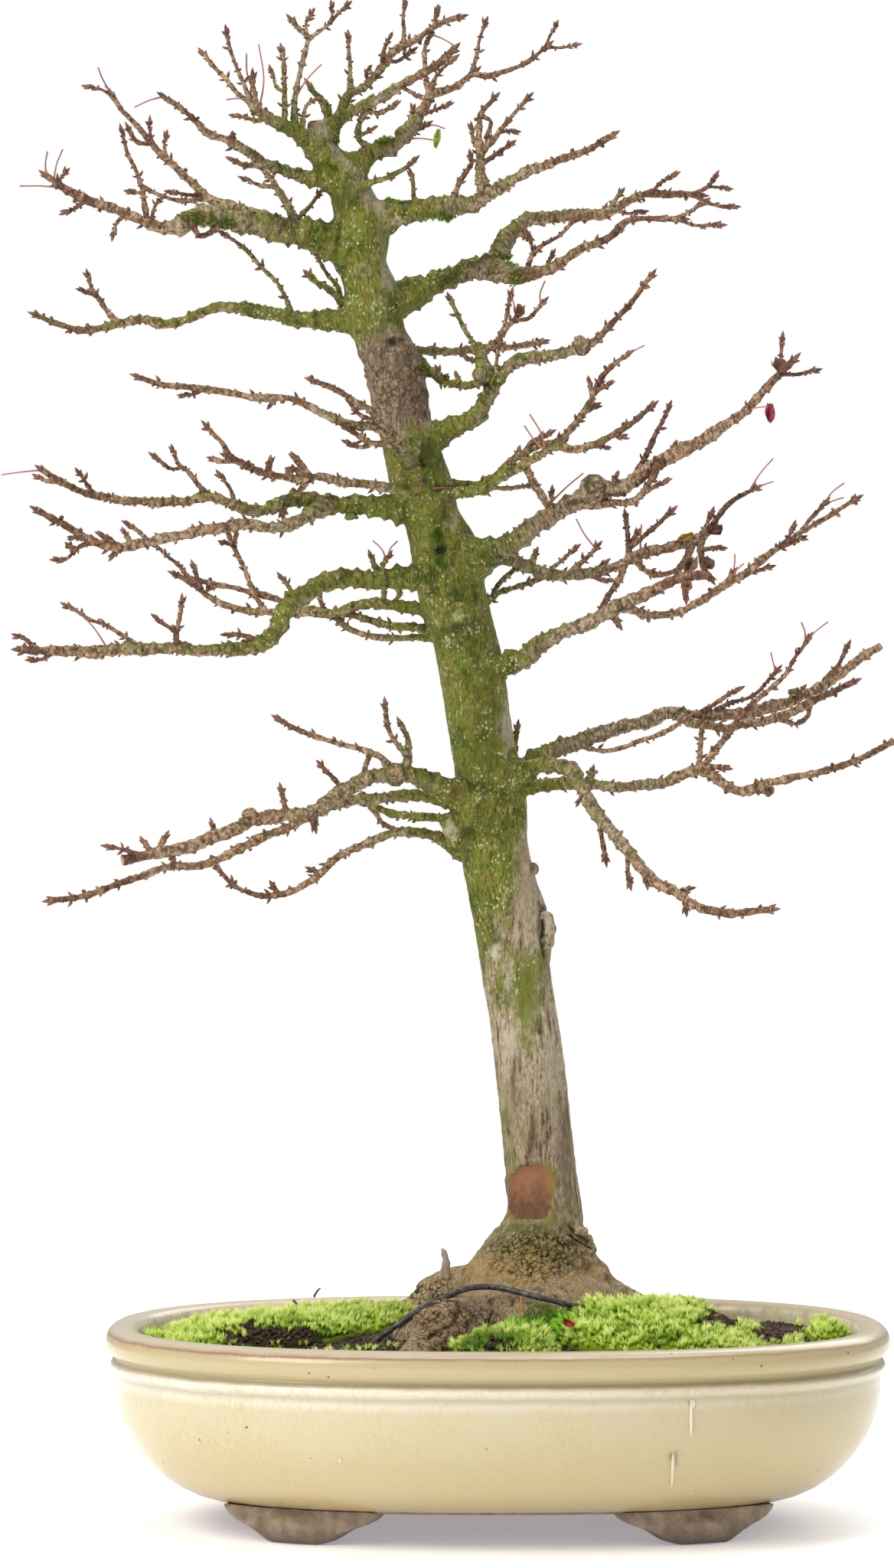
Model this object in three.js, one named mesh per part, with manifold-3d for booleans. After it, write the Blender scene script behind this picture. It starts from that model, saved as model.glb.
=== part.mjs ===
// Trident maple pre-bonsai in an oval glazed pot, bare in winter.
// Millimetres, +Z up. The front of the tree faces -Y.
import * as THREE from 'three';
import { mergeVertices } from 'three/addons/utils/BufferGeometryUtils.js';
import Module from 'manifold-3d';

const wasm = await Module();
wasm.setup();

// Driving dimensions of the pot
const RIM_HALF_LENGTH = 175;
const RIM_HALF_DEPTH = 135;
const BASE_HALF_LENGTH = 125;
const BASE_HALF_DEPTH = 75;
const OVAL_POWER = 2.4;
const POT_BOTTOM = 12;
const FLOOR_TOP = 20;
const RIM_TOP = 88.5;
const INNER_RIM = 160;
const POT_SIDES = 36;

// Driving dimensions of what fills the pot
const CLEARANCE = 0.35;
const SOIL_EDGE = 78;
const SOIL_RINGS = 4;
const SOIL_MOUND = 16;
const MOUND_SPREAD = [75, 55];
const ROOT_CENTRE = [15, 0];
const MOSS_SEAT = 3;
const WIRE_RADIUS = 1.35;

// The tree is drawn as it is seen from the front: u to the right and v down, in steps of PIXEL millimetres
// at the pot's middle, from an eye EYE_DISTANCE in front of it. Depth is in millimetres behind the pot's middle.
const PIXEL = 0.342;
const HALF_PIXEL = PIXEL / 2;
const EYE_DISTANCE = 2400;
const EYE_X = -22.6;
const EYE_Z = 329;
const EYE_U = 584;
const EYE_V = 1024;

function seen(u, v, depth) {
  const scale = PIXEL * (EYE_DISTANCE + depth) / EYE_DISTANCE;
  return new THREE.Vector3(EYE_X + (u - EYE_U) * scale, depth, EYE_Z - (v - EYE_V) * scale);
}

// A closed geometry becomes a solid once its shared corners are merged
function solid(geometry) {
  const plain = geometry.clone();
  plain.deleteAttribute('normal');
  plain.deleteAttribute('uv');
  const merged = mergeVertices(plain, 1e-4);
  const corners = Array.from(merged.index.array);
  const faces = [];
  for (let i = 0; i < corners.length; i += 3) {
    const [a, b, c] = corners.slice(i, i + 3);
    if (a !== b && b !== c && c !== a) {
      faces.push(a, b, c);
    }
  }
  return new wasm.Manifold(new wasm.Mesh({
    numProp: 3,
    vertProperties: new Float32Array(merged.attributes.position.array),
    triVerts: new Uint32Array(faces),
  }));
}

function join(solids) {
  return solids.reduce((whole, next) => whole.add(next));
}

function mesh(name, body, colour, roughness, metalness = 0) {
  const { vertProperties, triVerts } = body.getMesh();
  const geometry = new THREE.BufferGeometry();
  geometry.setAttribute('position', new THREE.BufferAttribute(vertProperties, 3));
  geometry.setIndex(new THREE.BufferAttribute(triVerts, 1));
  geometry.computeVertexNormals();
  const material = new THREE.MeshStandardMaterial({ color: colour, roughness, metalness });
  const piece = new THREE.Mesh(geometry, material);
  piece.name = name;
  return piece;
}

// Moves every corner of a geometry by a rule
function reshape(geometry, rule) {
  const corners = geometry.attributes.position;
  const point = new THREE.Vector3();
  for (let i = 0; i < corners.count; i++) {
    point.fromBufferAttribute(corners, i);
    rule(point);
    corners.setXYZ(i, point.x, point.y, point.z);
  }
  return geometry;
}

// The pot's plan is a full oval whose depth shrinks faster than its length towards the foot
function halfDepth(halfLength) {
  if (halfLength < BASE_HALF_LENGTH) {
    return halfLength * BASE_HALF_DEPTH / BASE_HALF_LENGTH;
  }
  const rise = (RIM_HALF_DEPTH - BASE_HALF_DEPTH) / (RIM_HALF_LENGTH - BASE_HALF_LENGTH);
  return BASE_HALF_DEPTH + (halfLength - BASE_HALF_LENGTH) * rise;
}

function ovalPoint(halfLength, angle) {
  const reach = (value) => Math.sign(value) * Math.abs(value) ** (2 / OVAL_POWER);
  return [halfLength * reach(Math.cos(angle)), halfDepth(halfLength) * reach(Math.sin(angle))];
}

// A profile of half lengths and heights is turned round the oval
function ovalSolid(profile, sides, lift = () => 0) {
  const outline = profile.map(([length, height]) => new THREE.Vector2(length, height));
  const geometry = new THREE.LatheGeometry(outline, sides).rotateX(Math.PI / 2);
  reshape(geometry, (point) => {
    const length = Math.hypot(point.x, point.y);
    if (length > 1e-6) {
      [point.x, point.y] = ovalPoint(length, Math.atan2(point.y, point.x));
    }
    point.z += lift(point.x, point.y, point.z);
  });
  return solid(geometry);
}

const WALL_OUTSIDE = [
  [0, POT_BOTTOM], [119, POT_BOTTOM], [BASE_HALF_LENGTH, 12.6], [137, 14.6], [150, 22.5], [160.5, 34], [168.3, 47],
  [171, 62], [170.4, 68], [172.4, 70], [172.4, 73.4], [169.6, 74.6], [172.6, 76.8], [174.6, 79.5],
  [RIM_HALF_LENGTH, 82.5], [174, 86], [171, RIM_TOP],
];
const WALL_INSIDE = [
  [163, RIM_TOP], [INNER_RIM, 86.5], [INNER_RIM, 76], [157.5, 60], [152, 42], [143, 30], [128, 21.5], [116, FLOOR_TOP],
  [0, FLOOR_TOP],
];

// One foot: a cloud outline along the base's edge, bent to follow the oval
const FOOT_X = 83;
const FOOT_Y = 60;
const FOOT_TURN = 0.42;
const FOOT_THICKNESS = 15;
const FOOT_BEND = 150;

function foot(side, end) {
  const outline = new THREE.Shape();
  outline.moveTo(-36, 15);
  outline.quadraticCurveTo(-37, 8.5, -29, 8);
  outline.quadraticCurveTo(-22, 8, -21, 4.5);
  outline.quadraticCurveTo(-19, 1.5, -15, 2.6);
  outline.quadraticCurveTo(-13, 0, -10, 0);
  outline.lineTo(10, 0);
  outline.quadraticCurveTo(13, 0, 15, 2.6);
  outline.quadraticCurveTo(19, 1.5, 21, 4.5);
  outline.quadraticCurveTo(22, 8, 29, 8);
  outline.quadraticCurveTo(37, 8.5, 36, 15);
  const geometry = new THREE.ExtrudeGeometry(outline, {
    depth: FOOT_THICKNESS, bevelEnabled: false, curveSegments: 3,
  });
  geometry.rotateX(Math.PI / 2);
  reshape(geometry, (point) => {
    point.y += point.x * point.x / (2 * FOOT_BEND);
  });
  const turn = side * end > 0 ? -FOOT_TURN : FOOT_TURN;
  geometry.rotateZ(side < 0 ? turn : Math.PI + turn);
  geometry.translate(end * FOOT_X, side * FOOT_Y, 0);
  return solid(geometry);
}

function upright(radius, x, y, low, high, sides) {
  const geometry = new THREE.CylinderGeometry(radius, radius, high - low, sides).rotateX(Math.PI / 2);
  return solid(geometry.translate(x, y, (low + high) / 2));
}

const DRAIN_RADIUS = 15;
const DRAIN_X = 72;
const WIRE_HOLE_RADIUS = 4.6;
const WIRE_HOLE = [35, 35];

function pot() {
  let body = ovalSolid([...WALL_OUTSIDE, ...WALL_INSIDE], POT_SIDES);
  for (const side of [-1, 1]) {
    for (const end of [-1, 1]) {
      body = body.add(foot(side, end));
      body = body.subtract(upright(WIRE_HOLE_RADIUS, end * WIRE_HOLE[0], side * WIRE_HOLE[1], 0, 30, 10));
    }
  }
  for (const end of [-1, 1]) {
    body = body.subtract(upright(DRAIN_RADIUS, end * DRAIN_X, 0, 0, 30, 20));
  }
  return body;
}

// A square of plastic mesh lies over each drainage hole
const SCREEN_SIZE = 44;
const SCREEN_THICKNESS = 1.4;
const SCREEN_BARS = 3;
const SCREEN_BAR_WIDTH = 5;

function screen(end) {
  const pitch = (SCREEN_SIZE - SCREEN_BAR_WIDTH) / (SCREEN_BARS - 1);
  const height = FLOOR_TOP + CLEARANCE + SCREEN_THICKNESS / 2;
  const bars = [];
  for (let i = 0; i < SCREEN_BARS; i++) {
    const place = (i - (SCREEN_BARS - 1) / 2) * pitch;
    const across = new THREE.BoxGeometry(SCREEN_SIZE, SCREEN_BAR_WIDTH, SCREEN_THICKNESS);
    const along = new THREE.BoxGeometry(SCREEN_BAR_WIDTH, SCREEN_SIZE, SCREEN_THICKNESS);
    bars.push(solid(across.translate(end * DRAIN_X, place, height)));
    bars.push(solid(along.translate(end * DRAIN_X + place, 0, height)));
  }
  return join(bars);
}

function screenRoom(end) {
  const size = SCREEN_SIZE + 2 * CLEARANCE;
  const geometry = new THREE.BoxGeometry(size, size, SCREEN_THICKNESS + 2 * CLEARANCE);
  return solid(geometry.translate(end * DRAIN_X, 0, FLOOR_TOP + CLEARANCE + SCREEN_THICKNESS / 2));
}

// The soil rises in a low uneven mound round the root base
function soilHeight(x, y) {
  const across = (x - ROOT_CENTRE[0]) / MOUND_SPREAD[0];
  const along = (y - ROOT_CENTRE[1]) / MOUND_SPREAD[1];
  const mound = SOIL_MOUND * Math.exp(-(across * across + along * along) / 2);
  return SOIL_EDGE + mound + 0.5 * Math.sin(x / 9) * Math.cos(y / 11);
}

function soil() {
  const gap = CLEARANCE + 0.15;
  const profile = [[0, FLOOR_TOP + CLEARANCE]];
  for (const [length, height] of WALL_INSIDE.slice(3, 8).reverse()) {
    profile.push([length - gap, height + CLEARANCE]);
  }
  profile.push([INNER_RIM - gap, 76], [INNER_RIM - gap, SOIL_EDGE]);
  for (let ring = 1; ring < SOIL_RINGS; ring++) {
    profile.push([(INNER_RIM - gap) * (1 - ring / SOIL_RINGS), SOIL_EDGE]);
  }
  profile.push([0, SOIL_EDGE]);
  const top = (x, y, z) => (z >= SOIL_EDGE - 0.01 ? soilHeight(x, y) - SOIL_EDGE : 0);
  return ovalSolid(profile, POT_SIDES, top);
}

// A moss cushion sits in a shallow seat in the soil and swells unevenly above it
function cushion([x0, y0, halfX, halfY, thick], grow = 0) {
  const geometry = new THREE.SphereGeometry(1, 14, 6).rotateX(Math.PI / 2);
  const limitX = INNER_RIM - 1.2 + grow / 2;
  const limitY = halfDepth(INNER_RIM) - 1.4 + grow / 2;
  reshape(geometry, (point) => {
    const turn = Math.atan2(point.y, point.x);
    const edge = 1 + 0.08 * Math.sin(3 * turn + x0) + 0.05 * Math.sin(7 * turn + y0);
    let x = x0 + (halfX * edge + grow) * point.x;
    let y = y0 + (halfY * edge + grow) * point.y;
    const reach = (Math.abs(x / limitX) ** OVAL_POWER + Math.abs(y / limitY) ** OVAL_POWER) ** (1 / OVAL_POWER);
    x /= Math.max(1, reach);
    y /= Math.max(1, reach);
    const bumps = 1 + 0.16 * Math.sin(x / 5 + y0) * Math.cos(y / 6) + 0.1 * Math.sin((x + y) / 11);
    const rise = point.z > 0 ? (thick * bumps + grow) * point.z ** 0.7 : (MOSS_SEAT + grow) * point.z;
    point.set(x, y, soilHeight(x, y) + rise);
  });
  return solid(geometry);
}

// A cushion gives way to the roots and the wire, and loses any scrap that they cut off
function seatedMoss(place) {
  const parts = cushion(place).subtract(roots).subtract(wireRoom).decompose();
  return parts.reduce((best, next) => (next.volume() > best.volume() ? next : best));
}

const MOSS = {
  moss_left: [-98, 4, 58, 56, 8],
  moss_front: [-14, -86, 28, 25, 9],
  moss_right: [79, -44, 56, 48, 12],
  moss_tuft: [146, -14, 9, 15, 8],
  moss_back: [22, 74, 72, 30, 7],
};

// A stick is a cylinder whose rings are laid along a smooth route.
// Its last part swells to a pointed bud where a bud length is given.
function stick(route, radii, sides, stepLength, bud = 0) {
  const curve = new THREE.CatmullRomCurve3(route, false, 'centripetal');
  const length = curve.getLength();
  const bare = 1 - Math.min(bud / length, 0.5);
  const steps = Math.max(1, Math.round(length * bare / stepLength));
  const radiusAt = (t) => {
    const place = t * (radii.length - 1);
    const from = Math.min(Math.floor(place), radii.length - 2);
    return THREE.MathUtils.lerp(radii[from], radii[from + 1], place - from);
  };
  const stations = [];
  for (let i = 0; i <= steps; i++) {
    const t = bare * i / steps;
    stations.push([t, radiusAt(t) * (i % 2 ? 1.06 : 0.97)]);
  }
  if (bud > 0) {
    stations.at(-1)[1] = radiusAt(bare) * BUD_SWELL;
    stations.push([1, BUD_POINT]);
  }
  let across = new THREE.Vector3(0.31, 0.87, 0.39);
  const rings = stations.map(([t, radius]) => {
    const along = curve.getTangentAt(t);
    across = across.clone().addScaledVector(along, -across.dot(along)).normalize();
    const third = new THREE.Vector3().crossVectors(across, along);
    return { centre: curve.getPointAt(t), across, third, radius };
  });
  const last = stations.length - 1;
  const geometry = reshape(new THREE.CylinderGeometry(1, 1, 1, sides, last), (point) => {
    const ring = rings[Math.round((point.y + 0.5) * last)];
    const { x, z } = point;
    point.copy(ring.centre);
    point.addScaledVector(ring.across, x * ring.radius);
    point.addScaledVector(ring.third, z * ring.radius);
  });
  return { body: solid(geometry), spine: rings.map((ring) => ring.centre) };
}

// Trunk outline: v, left edge u, right edge u, from the sawn top to the hidden root ball
const TRUNK = [
  [157, 402, 426], [172, 401, 431], [200, 404, 445], [232, 426, 479], [256, 431, 488], [302, 438, 509],
  [345, 443, 504], [384, 448, 521], [434, 462, 529], [478, 476, 550], [540, 490, 562], [600, 503, 578],
  [660, 520, 598], [728, 537, 630], [775, 547, 634], [850, 568, 653], [951, 586, 668], [1046, 597, 688],
  [1110, 603, 690], [1160, 612, 702], [1222, 622, 723], [1262, 628, 718], [1350, 641, 732], [1465, 654, 746],
  [1540, 661, 755], [1590, 660, 760], [1620, 634, 769], [1650, 600, 784], [1675, 572, 812], [1705, 552, 838],
  [1755, 562, 826], [1800, 600, 790], [1835, 640, 750],
];
const TRUNK_SIDES = 14;
const TRUNK_SWAY = [[1835, 0], [1500, 0], [1200, 6], [800, 2], [400, -6], [157, -14]];
const FLARE_TOP_V = 1560;

function trunkDepth(v) {
  for (let i = 1; i < TRUNK_SWAY.length; i++) {
    const [low, near] = TRUNK_SWAY[i - 1];
    const [high, far] = TRUNK_SWAY[i];
    if (v >= high) {
      return THREE.MathUtils.mapLinear(v, low, high, near, far);
    }
  }
  return TRUNK_SWAY.at(-1)[1];
}

function trunk(grow = 0) {
  const rings = TRUNK.map(([v, left, right]) => {
    const depth = trunkDepth(v);
    const low = seen(left, v, depth);
    const high = seen(right, v, depth);
    const flare = Math.max(0, v - FLARE_TOP_V) / (1690 - FLARE_TOP_V);
    return { centre: low.clone().add(high).divideScalar(2), half: (high.x - low.x) / 2, flare: Math.min(flare, 1) };
  }).reverse();
  const last = rings.length - 1;
  const geometry = new THREE.CylinderGeometry(1, 1, 1, TRUNK_SIDES, last).rotateX(Math.PI / 2);
  reshape(geometry, (point) => {
    const index = Math.round((point.z + 0.5) * last);
    const { centre, half, flare } = rings[index];
    const turn = Math.atan2(point.y, point.x);
    const lobes = 1 - 0.2 * flare * (1 - Math.cos(6 * turn)) / 2;
    const ripple = 1 + 0.03 * Math.sin(index * 1.7) * Math.sin(2 * turn);
    const reach = Math.hypot(point.x, point.y) > 0.5 ? 1 : 0;
    const radius = (half * lobes * ripple + grow) * reach;
    const bottom = index === 0 ? -grow : 0;
    const squash = 1 - 0.12 * flare;
    point.set(
      centre.x + radius * Math.cos(turn),
      centre.y + radius * squash * Math.sin(turn),
      centre.z + bottom,
    );
  });
  return solid(geometry);
}

// Surface roots run out from the flare and dive into the soil: radii, then the route in millimetres
const ROOTS = [
  [[13, 9, 5], [-5, 4, 100], [-38, 8, 91], [-62, 14, 80], [-82, 18, 66]],
  [[13, 9, 5], [38, 2, 100], [64, 4, 90], [88, 8, 78], [106, 12, 64]],
  [[12, 9, 5], [12, 20, 98], [-2, 48, 86], [-10, 70, 74], [-14, 86, 60]],
  [[12, 8, 5], [30, 15, 98], [48, 42, 85], [62, 62, 73], [70, 76, 60]],
  [[12, 9, 5], [30, -15, 98], [50, -38, 86], [64, -56, 76], [74, -70, 62]],
];
// The swollen, cracked root at the front left: middle and half sizes
const BURL = [[-19, -42, 82], [29, 21, 23.5]];

function burl(grow = 0) {
  const [middle, half] = BURL;
  const geometry = reshape(new THREE.SphereGeometry(1, 12, 7), (point) => {
    const rough = 1 + 0.06 * Math.sin(5 * point.x + 2) * Math.sin(4 * point.z) + 0.04 * Math.sin(9 * point.y);
    point.set(
      middle[0] + point.x * (half[0] * rough + grow),
      middle[1] + point.y * (half[1] * rough + grow),
      middle[2] + point.z * (half[2] * rough + grow),
    );
  });
  return solid(geometry);
}

function rootBase(grow = 0) {
  const roots = ROOTS.map(([radii, ...route]) => {
    const points = route.map((place) => new THREE.Vector3(...place));
    return stick(points, radii.map((radius) => radius + grow), 6, 20).body;
  });
  return join([trunk(grow), burl(grow), ...roots]);
}

// Limbs: name, depths at root, middle and tip, widths from root to tip, route, then twigs.
// A root depth may be the name of the limb it grows from. A twig gives its widths, how far its tip leans back from its root, and its route.
const LIMBS = [
  ['crown_left', [-14, -20, -34], [22, 16, 12],
    [[424, 205], [405, 185], [385, 172], [365, 162], [345, 150], [332, 140]], [
      [[9, 6], -6, [335, 140], [330, 120], [330, 100]],
      [[7, 5], 8, [330, 140], [310, 122], [295, 105], [278, 87], [265, 70]],
      [[5, 4], -14, [332, 142], [315, 105], [304, 75], [296, 42]],
      [[6, 4], 10, [348, 154], [335, 158], [320, 152], [307, 151]],
      [[7, 5], 6, [372, 165], [371, 140], [372, 115], [370, 80], [368, 66]],
      [[4, 3], 5, [371, 122], [362, 113], [354, 93]],
      [[9, 7, 5], 12, [384, 170], [386, 130], [392, 95], [400, 65], [403, 48], [392, 38], [381, 26]],
      [[5, 4], 8, [402, 50], [425, 37], [440, 18], [453, 7]],
      [[4, 3], 5, [402, 48], [400, 30], [407, 17]],
      [[4, 3], -5, [430, 31], [433, 18], [433, 8]],
      [[6, 4], -8, [396, 177], [398, 145], [405, 133], [412, 130]],
    ]],
  ['apex_stub', [-12, -8, -4], [12, 9, 6],
    [[426, 200], [428, 170], [427, 145], [418, 130], [410, 122], [403, 110]], []],
  ['crown_back', [-12, 5, 25], [14, 12, 10, 9, 8, 6],
    [[430, 220], [432, 180], [437, 160], [445, 145], [458, 122], [470, 117], [490, 99], [500, 85], [515, 67],
      [530, 58], [545, 52], [555, 43], [575, 30], [602, 22]], [
      [[7, 4], 10, [458, 122], [457, 100], [457, 80], [455, 48]],
      [[5, 4], -6, [482, 107], [478, 98], [481, 91]],
      [[6, 4], -10, [502, 84], [502, 65], [509, 49]],
      [[5, 4], 8, [505, 80], [520, 80], [538, 67]],
      [[6, 4], 12, [528, 60], [528, 45], [527, 25], [529, 4]],
      [[4, 3], -6, [565, 36], [570, 25], [571, 14]],
    ]],
  ['crown_front', [-12, -22, -30], [14, 12, 11, 9],
    [[432, 178], [440, 157], [455, 148], [480, 134], [495, 130], [525, 112], [555, 95], [570, 85], [592, 65]], [
      [[5, 4], -5, [525, 112], [535, 120], [546, 126]],
    ]],
  ['crown_right', [-10, -5, 12], [30, 25, 20, 15, 10],
    [[430, 236], [460, 217], [480, 205], [500, 195], [520, 183], [535, 167], [545, 157], [558, 132], [565, 118]], [
      [[9, 7, 5], -18, [490, 200], [470, 183], [472, 158], [480, 145], [495, 147], [515, 137]],
      [[5, 4], -6, [469, 178], [478, 173], [487, 168]],
      [[7, 5], 8, [505, 192], [525, 188], [540, 175], [557, 163]],
      [[7, 6, 4], 14, [563, 125], [556, 100], [555, 65], [562, 45], [571, 15]],
      [[6, 4], -8, [564, 122], [566, 106], [575, 92], [593, 77]],
      [[9, 8], -4, [564, 124], [590, 115], [605, 105], [620, 94]],
      [[6, 4], 10, [618, 96], [622, 70], [627, 50], [634, 30]],
      [[7, 5], -12, [618, 96], [640, 99], [670, 90], [690, 80], [715, 60]],
      [[4, 3], -3, [712, 62], [735, 62], [751, 59]],
      [[4, 3], 5, [714, 61], [720, 45], [726, 33]],
      [[6, 4], -10, [550, 150], [565, 145], [585, 137]],
      [[6, 4], 8, [533, 169], [537, 152], [540, 142]],
    ]],
  ['short_right_twig', [-18, -28, -32], [8, 7, 5],
    [[466, 246], [485, 239], [500, 235], [515, 228], [530, 220], [540, 210]], []],
  ['high_left_limb', [-8, -30, -50], [20, 15, 12, 8, 5],
    [[458, 250], [430, 238], [400, 232], [380, 226], [345, 212], [330, 203], [300, 185], [275, 176], [260, 162],
      [235, 140], [214, 126]], [
    ]],
  ['mossy_left_limb', [-6, -25, -40], [42, 34, 28, 23, 25, 15, 12, 11, 8],
    [[468, 322], [432, 314], [402, 308], [364, 300], [320, 292], [290, 284], [268, 281], [252, 286], [238, 294],
      [215, 297], [190, 290], [150, 273], [112, 260], [90, 250], [60, 229]], [
      [[8, 7], -12, [290, 284], [275, 303], [262, 308], [253, 296]],
      [[5, 4], 5, [165, 281], [152, 292], [148, 306]],
      [[5, 4], -5, [112, 260], [100, 270], [86, 277]],
      [[4, 3], 5, [80, 244], [80, 232], [86, 225]],
      [[7, 6, 4], 8, [193, 290], [187, 255], [177, 223], [165, 195], [159, 171]],
      [[5, 4], -8, [198, 290], [202, 270], [212, 258]],
    ]],
  ['left_limb_above_it', ['mossy_left_limb', 15, 35], [20, 16, 12, 9, 7, 5],
    [[425, 312], [402, 302], [364, 290], [333, 279], [306, 272], [270, 257], [250, 238], [218, 208], [200, 190],
      [175, 160], [160, 145], [145, 122]], [
      [[4, 3], 4, [150, 130], [130, 115], [115, 113]],
      [[5, 4], 4, [218, 208], [215, 190], [217, 178]],
      [[4, 3], -4, [200, 190], [197, 175], [196, 160]],
      [[6, 4], -6, [198, 190], [180, 185], [168, 168]],
      [[7, 5], 8, [272, 259], [240, 262], [218, 258], [190, 247]],
      [[6, 4], -7, [268, 256], [250, 256], [224, 251]],
    ]],
  ['left_limb_spur', ['left_limb_above_it', -30, -45], [10, 9, 7, 6],
    [[394, 304], [385, 283], [375, 268], [362, 245], [350, 228], [340, 218], [320, 216], [303, 209]], [
      [[6, 4], 6, [360, 246], [345, 243], [320, 234]],
      [[6, 4], 6, [386, 288], [400, 275], [417, 253]],
    ]],
  ['twig_behind_crown', [0, 18, 30], [10, 9, 7],
    [[470, 398], [448, 395], [440, 388], [428, 375], [415, 368], [402, 358]], [
      [[6, 4], 6, [446, 393], [440, 373], [428, 358], [412, 330]],
    ]],
  ['wavy_left_limb', [-2, 10, 22], [26, 22, 19, 16, 13, 11, 11, 10, 8, 5],
    [[484, 426], [446, 418], [402, 417], [367, 413], [329, 406], [291, 400], [272, 406], [245, 416], [209, 422],
      [182, 417], [161, 423], [130, 430], [107, 431], [77, 423], [46, 411]], [
      [[8, 6, 4], 10, [157, 424], [140, 405], [122, 380], [115, 360]],
      [[6, 5, 4], -20, [383, 412], [367, 375], [344, 352], [321, 325], [291, 305]],
    ]],
  ['front_branch', [-8, -32, -48], [22, 18, 14, 12],
    [[552, 674], [554, 652], [546, 630], [538, 610], [528, 590], [518, 575], [505, 563], [492, 557]], []],
  ['front_branch_left', ['front_branch', -56, -64], [12, 10, 9, 8, 9, 5],
    [[508, 565], [492, 557], [465, 556], [440, 549], [410, 534], [380, 521], [340, 519], [300, 514], [262, 507],
      [215, 503], [180, 492]], [
      [[5, 4], 4, [265, 508], [250, 515], [240, 516]],
    ]],
  ['front_branch_upper_left', ['front_branch', -58, -66], [10, 8, 7, 6],
    [[503, 562], [493, 548], [484, 535], [460, 522], [437, 509], [408, 497]], [
      [[6, 5], -5, [494, 552], [475, 545], [465, 537], [457, 523]],
    ]],
  ['front_branch_lower_left', ['front_branch', -40, -53], [9, 7, 6],
    [[540, 604], [527, 590], [515, 583], [490, 578], [475, 575], [463, 566], [448, 555]], [
      [[6, 5], -4, [482, 577], [475, 583], [463, 583], [455, 579]],
    ]],
  ['front_branch_pale', ['front_branch', -28, -34], [10, 9, 6],
    [[536, 607], [541, 590], [545, 575], [542, 558], [545, 545]], []],
  ['bud_limb', [-10, -50, -78], [14, 11, 11, 11, 9, 8, 8],
    [[560, 656], [540, 643], [515, 638], [490, 634], [445, 628], [415, 623], [398, 628], [360, 622], [330, 612],
      [298, 597]], [
      [[6, 5], -8, [300, 598], [290, 578], [270, 557]],
      [[7, 6], 5, [303, 600], [290, 602], [279, 600]],
      [[10, 8], 5, [403, 626], [394, 609], [386, 598]],
      [[8, 6], -6, [397, 628], [388, 613], [380, 612]],
      [[9, 7], 3, [400, 628], [394, 638]],
    ]],
  ['long_left_limb', [-2, -22, -36], [28, 24, 22, 19, 13, 12, 11, 10, 9, 6],
    [[558, 670], [515, 662], [460, 659], [420, 655], [385, 653], [355, 662], [338, 667], [305, 658], [275, 649],
      [240, 655], [184, 654], [150, 651], [120, 647], [80, 630], [55, 614]], [
      [[6, 5, 4], -8, [272, 649], [260, 633], [240, 612], [225, 612], [202, 597]],
      [[5, 4], 6, [240, 613], [232, 605], [226, 588]],
      [[6, 4], 8, [305, 657], [303, 645], [288, 621]],
      [[6, 4], -8, [122, 647], [112, 630], [103, 618]],
      [[6, 4], 6, [82, 631], [65, 628], [50, 623]],
      [[12, 9], -2, [385, 652], [380, 641]],
      [[10, 8], 2, [372, 657], [370, 670]],
      [[12, 9], -2, [458, 660], [458, 676]],
    ]],
  ['long_left_limb_lower', ['long_left_limb', -38, -52], [20, 15, 13, 12, 12, 11, 9, 7],
    [[430, 657], [415, 664], [400, 675], [385, 683], [350, 690], [320, 685], [280, 690], [245, 697], [190, 709],
      [160, 714], [130, 711], [118, 706], [80, 684], [50, 667]], [
      [[6, 4], -6, [122, 708], [103, 715], [88, 730], [75, 731]],
      [[6, 4], -8, [195, 708], [183, 697], [167, 685]],
      [[6, 5], -5, [155, 713], [143, 704], [133, 699]],
    ]],
  ['green_left_limb', [-6, -32, -48], [30, 25, 22, 22, 24, 20, 16, 14, 14, 15, 12, 9],
    [[575, 755], [536, 755], [500, 756], [460, 757], [430, 758], [412, 765], [398, 776], [380, 790], [371, 806],
      [360, 822], [337, 841], [315, 847], [270, 849], [210, 847], [150, 850], [110, 851], [70, 850], [29, 849]], [
      [[6, 5, 4], 10, [184, 848], [165, 833], [145, 820], [120, 810], [88, 792]],
      [[7, 5], -10, [231, 848], [231, 825], [237, 785]],
      [[5, 4], -4, [231, 825], [218, 818], [205, 808]],
      [[6, 4], 6, [48, 849], [35, 837], [23, 831]],
      [[6, 4], -6, [72, 850], [57, 861], [42, 862]],
      [[5, 4], 6, [388, 784], [368, 755]],
      [[7, 5], -5, [338, 840], [320, 830], [298, 829]],
      [[7, 5], 3, [500, 755], [490, 738], [485, 727]],
      [[7, 5], -6, [503, 755], [500, 740], [507, 727]],
    ]],
  ['rear_left_limb', [4, 35, 62], [18, 14, 13, 12, 11, 9, 8, 8, 7],
    [[590, 805], [560, 798], [515, 791], [495, 787], [475, 790], [440, 799], [405, 799], [370, 801], [320, 796],
      [300, 792], [270, 777], [247, 756]], [
      [[7, 6, 5], 8, [346, 799], [338, 785], [322, 752], [308, 718], [298, 696]],
      [[6, 5, 4], -14, [249, 758], [235, 740], [220, 728], [198, 709]],
      [[8, 5], -4, [252, 760], [240, 755], [228, 750]],
      [[7, 5], 4, [262, 768], [257, 750], [253, 740]],
      [[6, 5], -6, [510, 790], [520, 778], [523, 768]],
    ]],
  ['rear_left_root_middle', [6, 22, 34], [12, 10, 9, 9],
    [[590, 830], [545, 820], [520, 818], [500, 816], [480, 810], [460, 803], [436, 799]], []],
  ['rear_left_root_lower', [10, 30, 36], [10, 8, 8, 8],
    [[590, 838], [547, 832], [520, 834], [480, 829], [450, 817], [440, 808], [424, 799]], []],
  ['rear_left_limb_upper', ['rear_left_root_lower', 50, 62], [9, 8, 7, 7],
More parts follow.
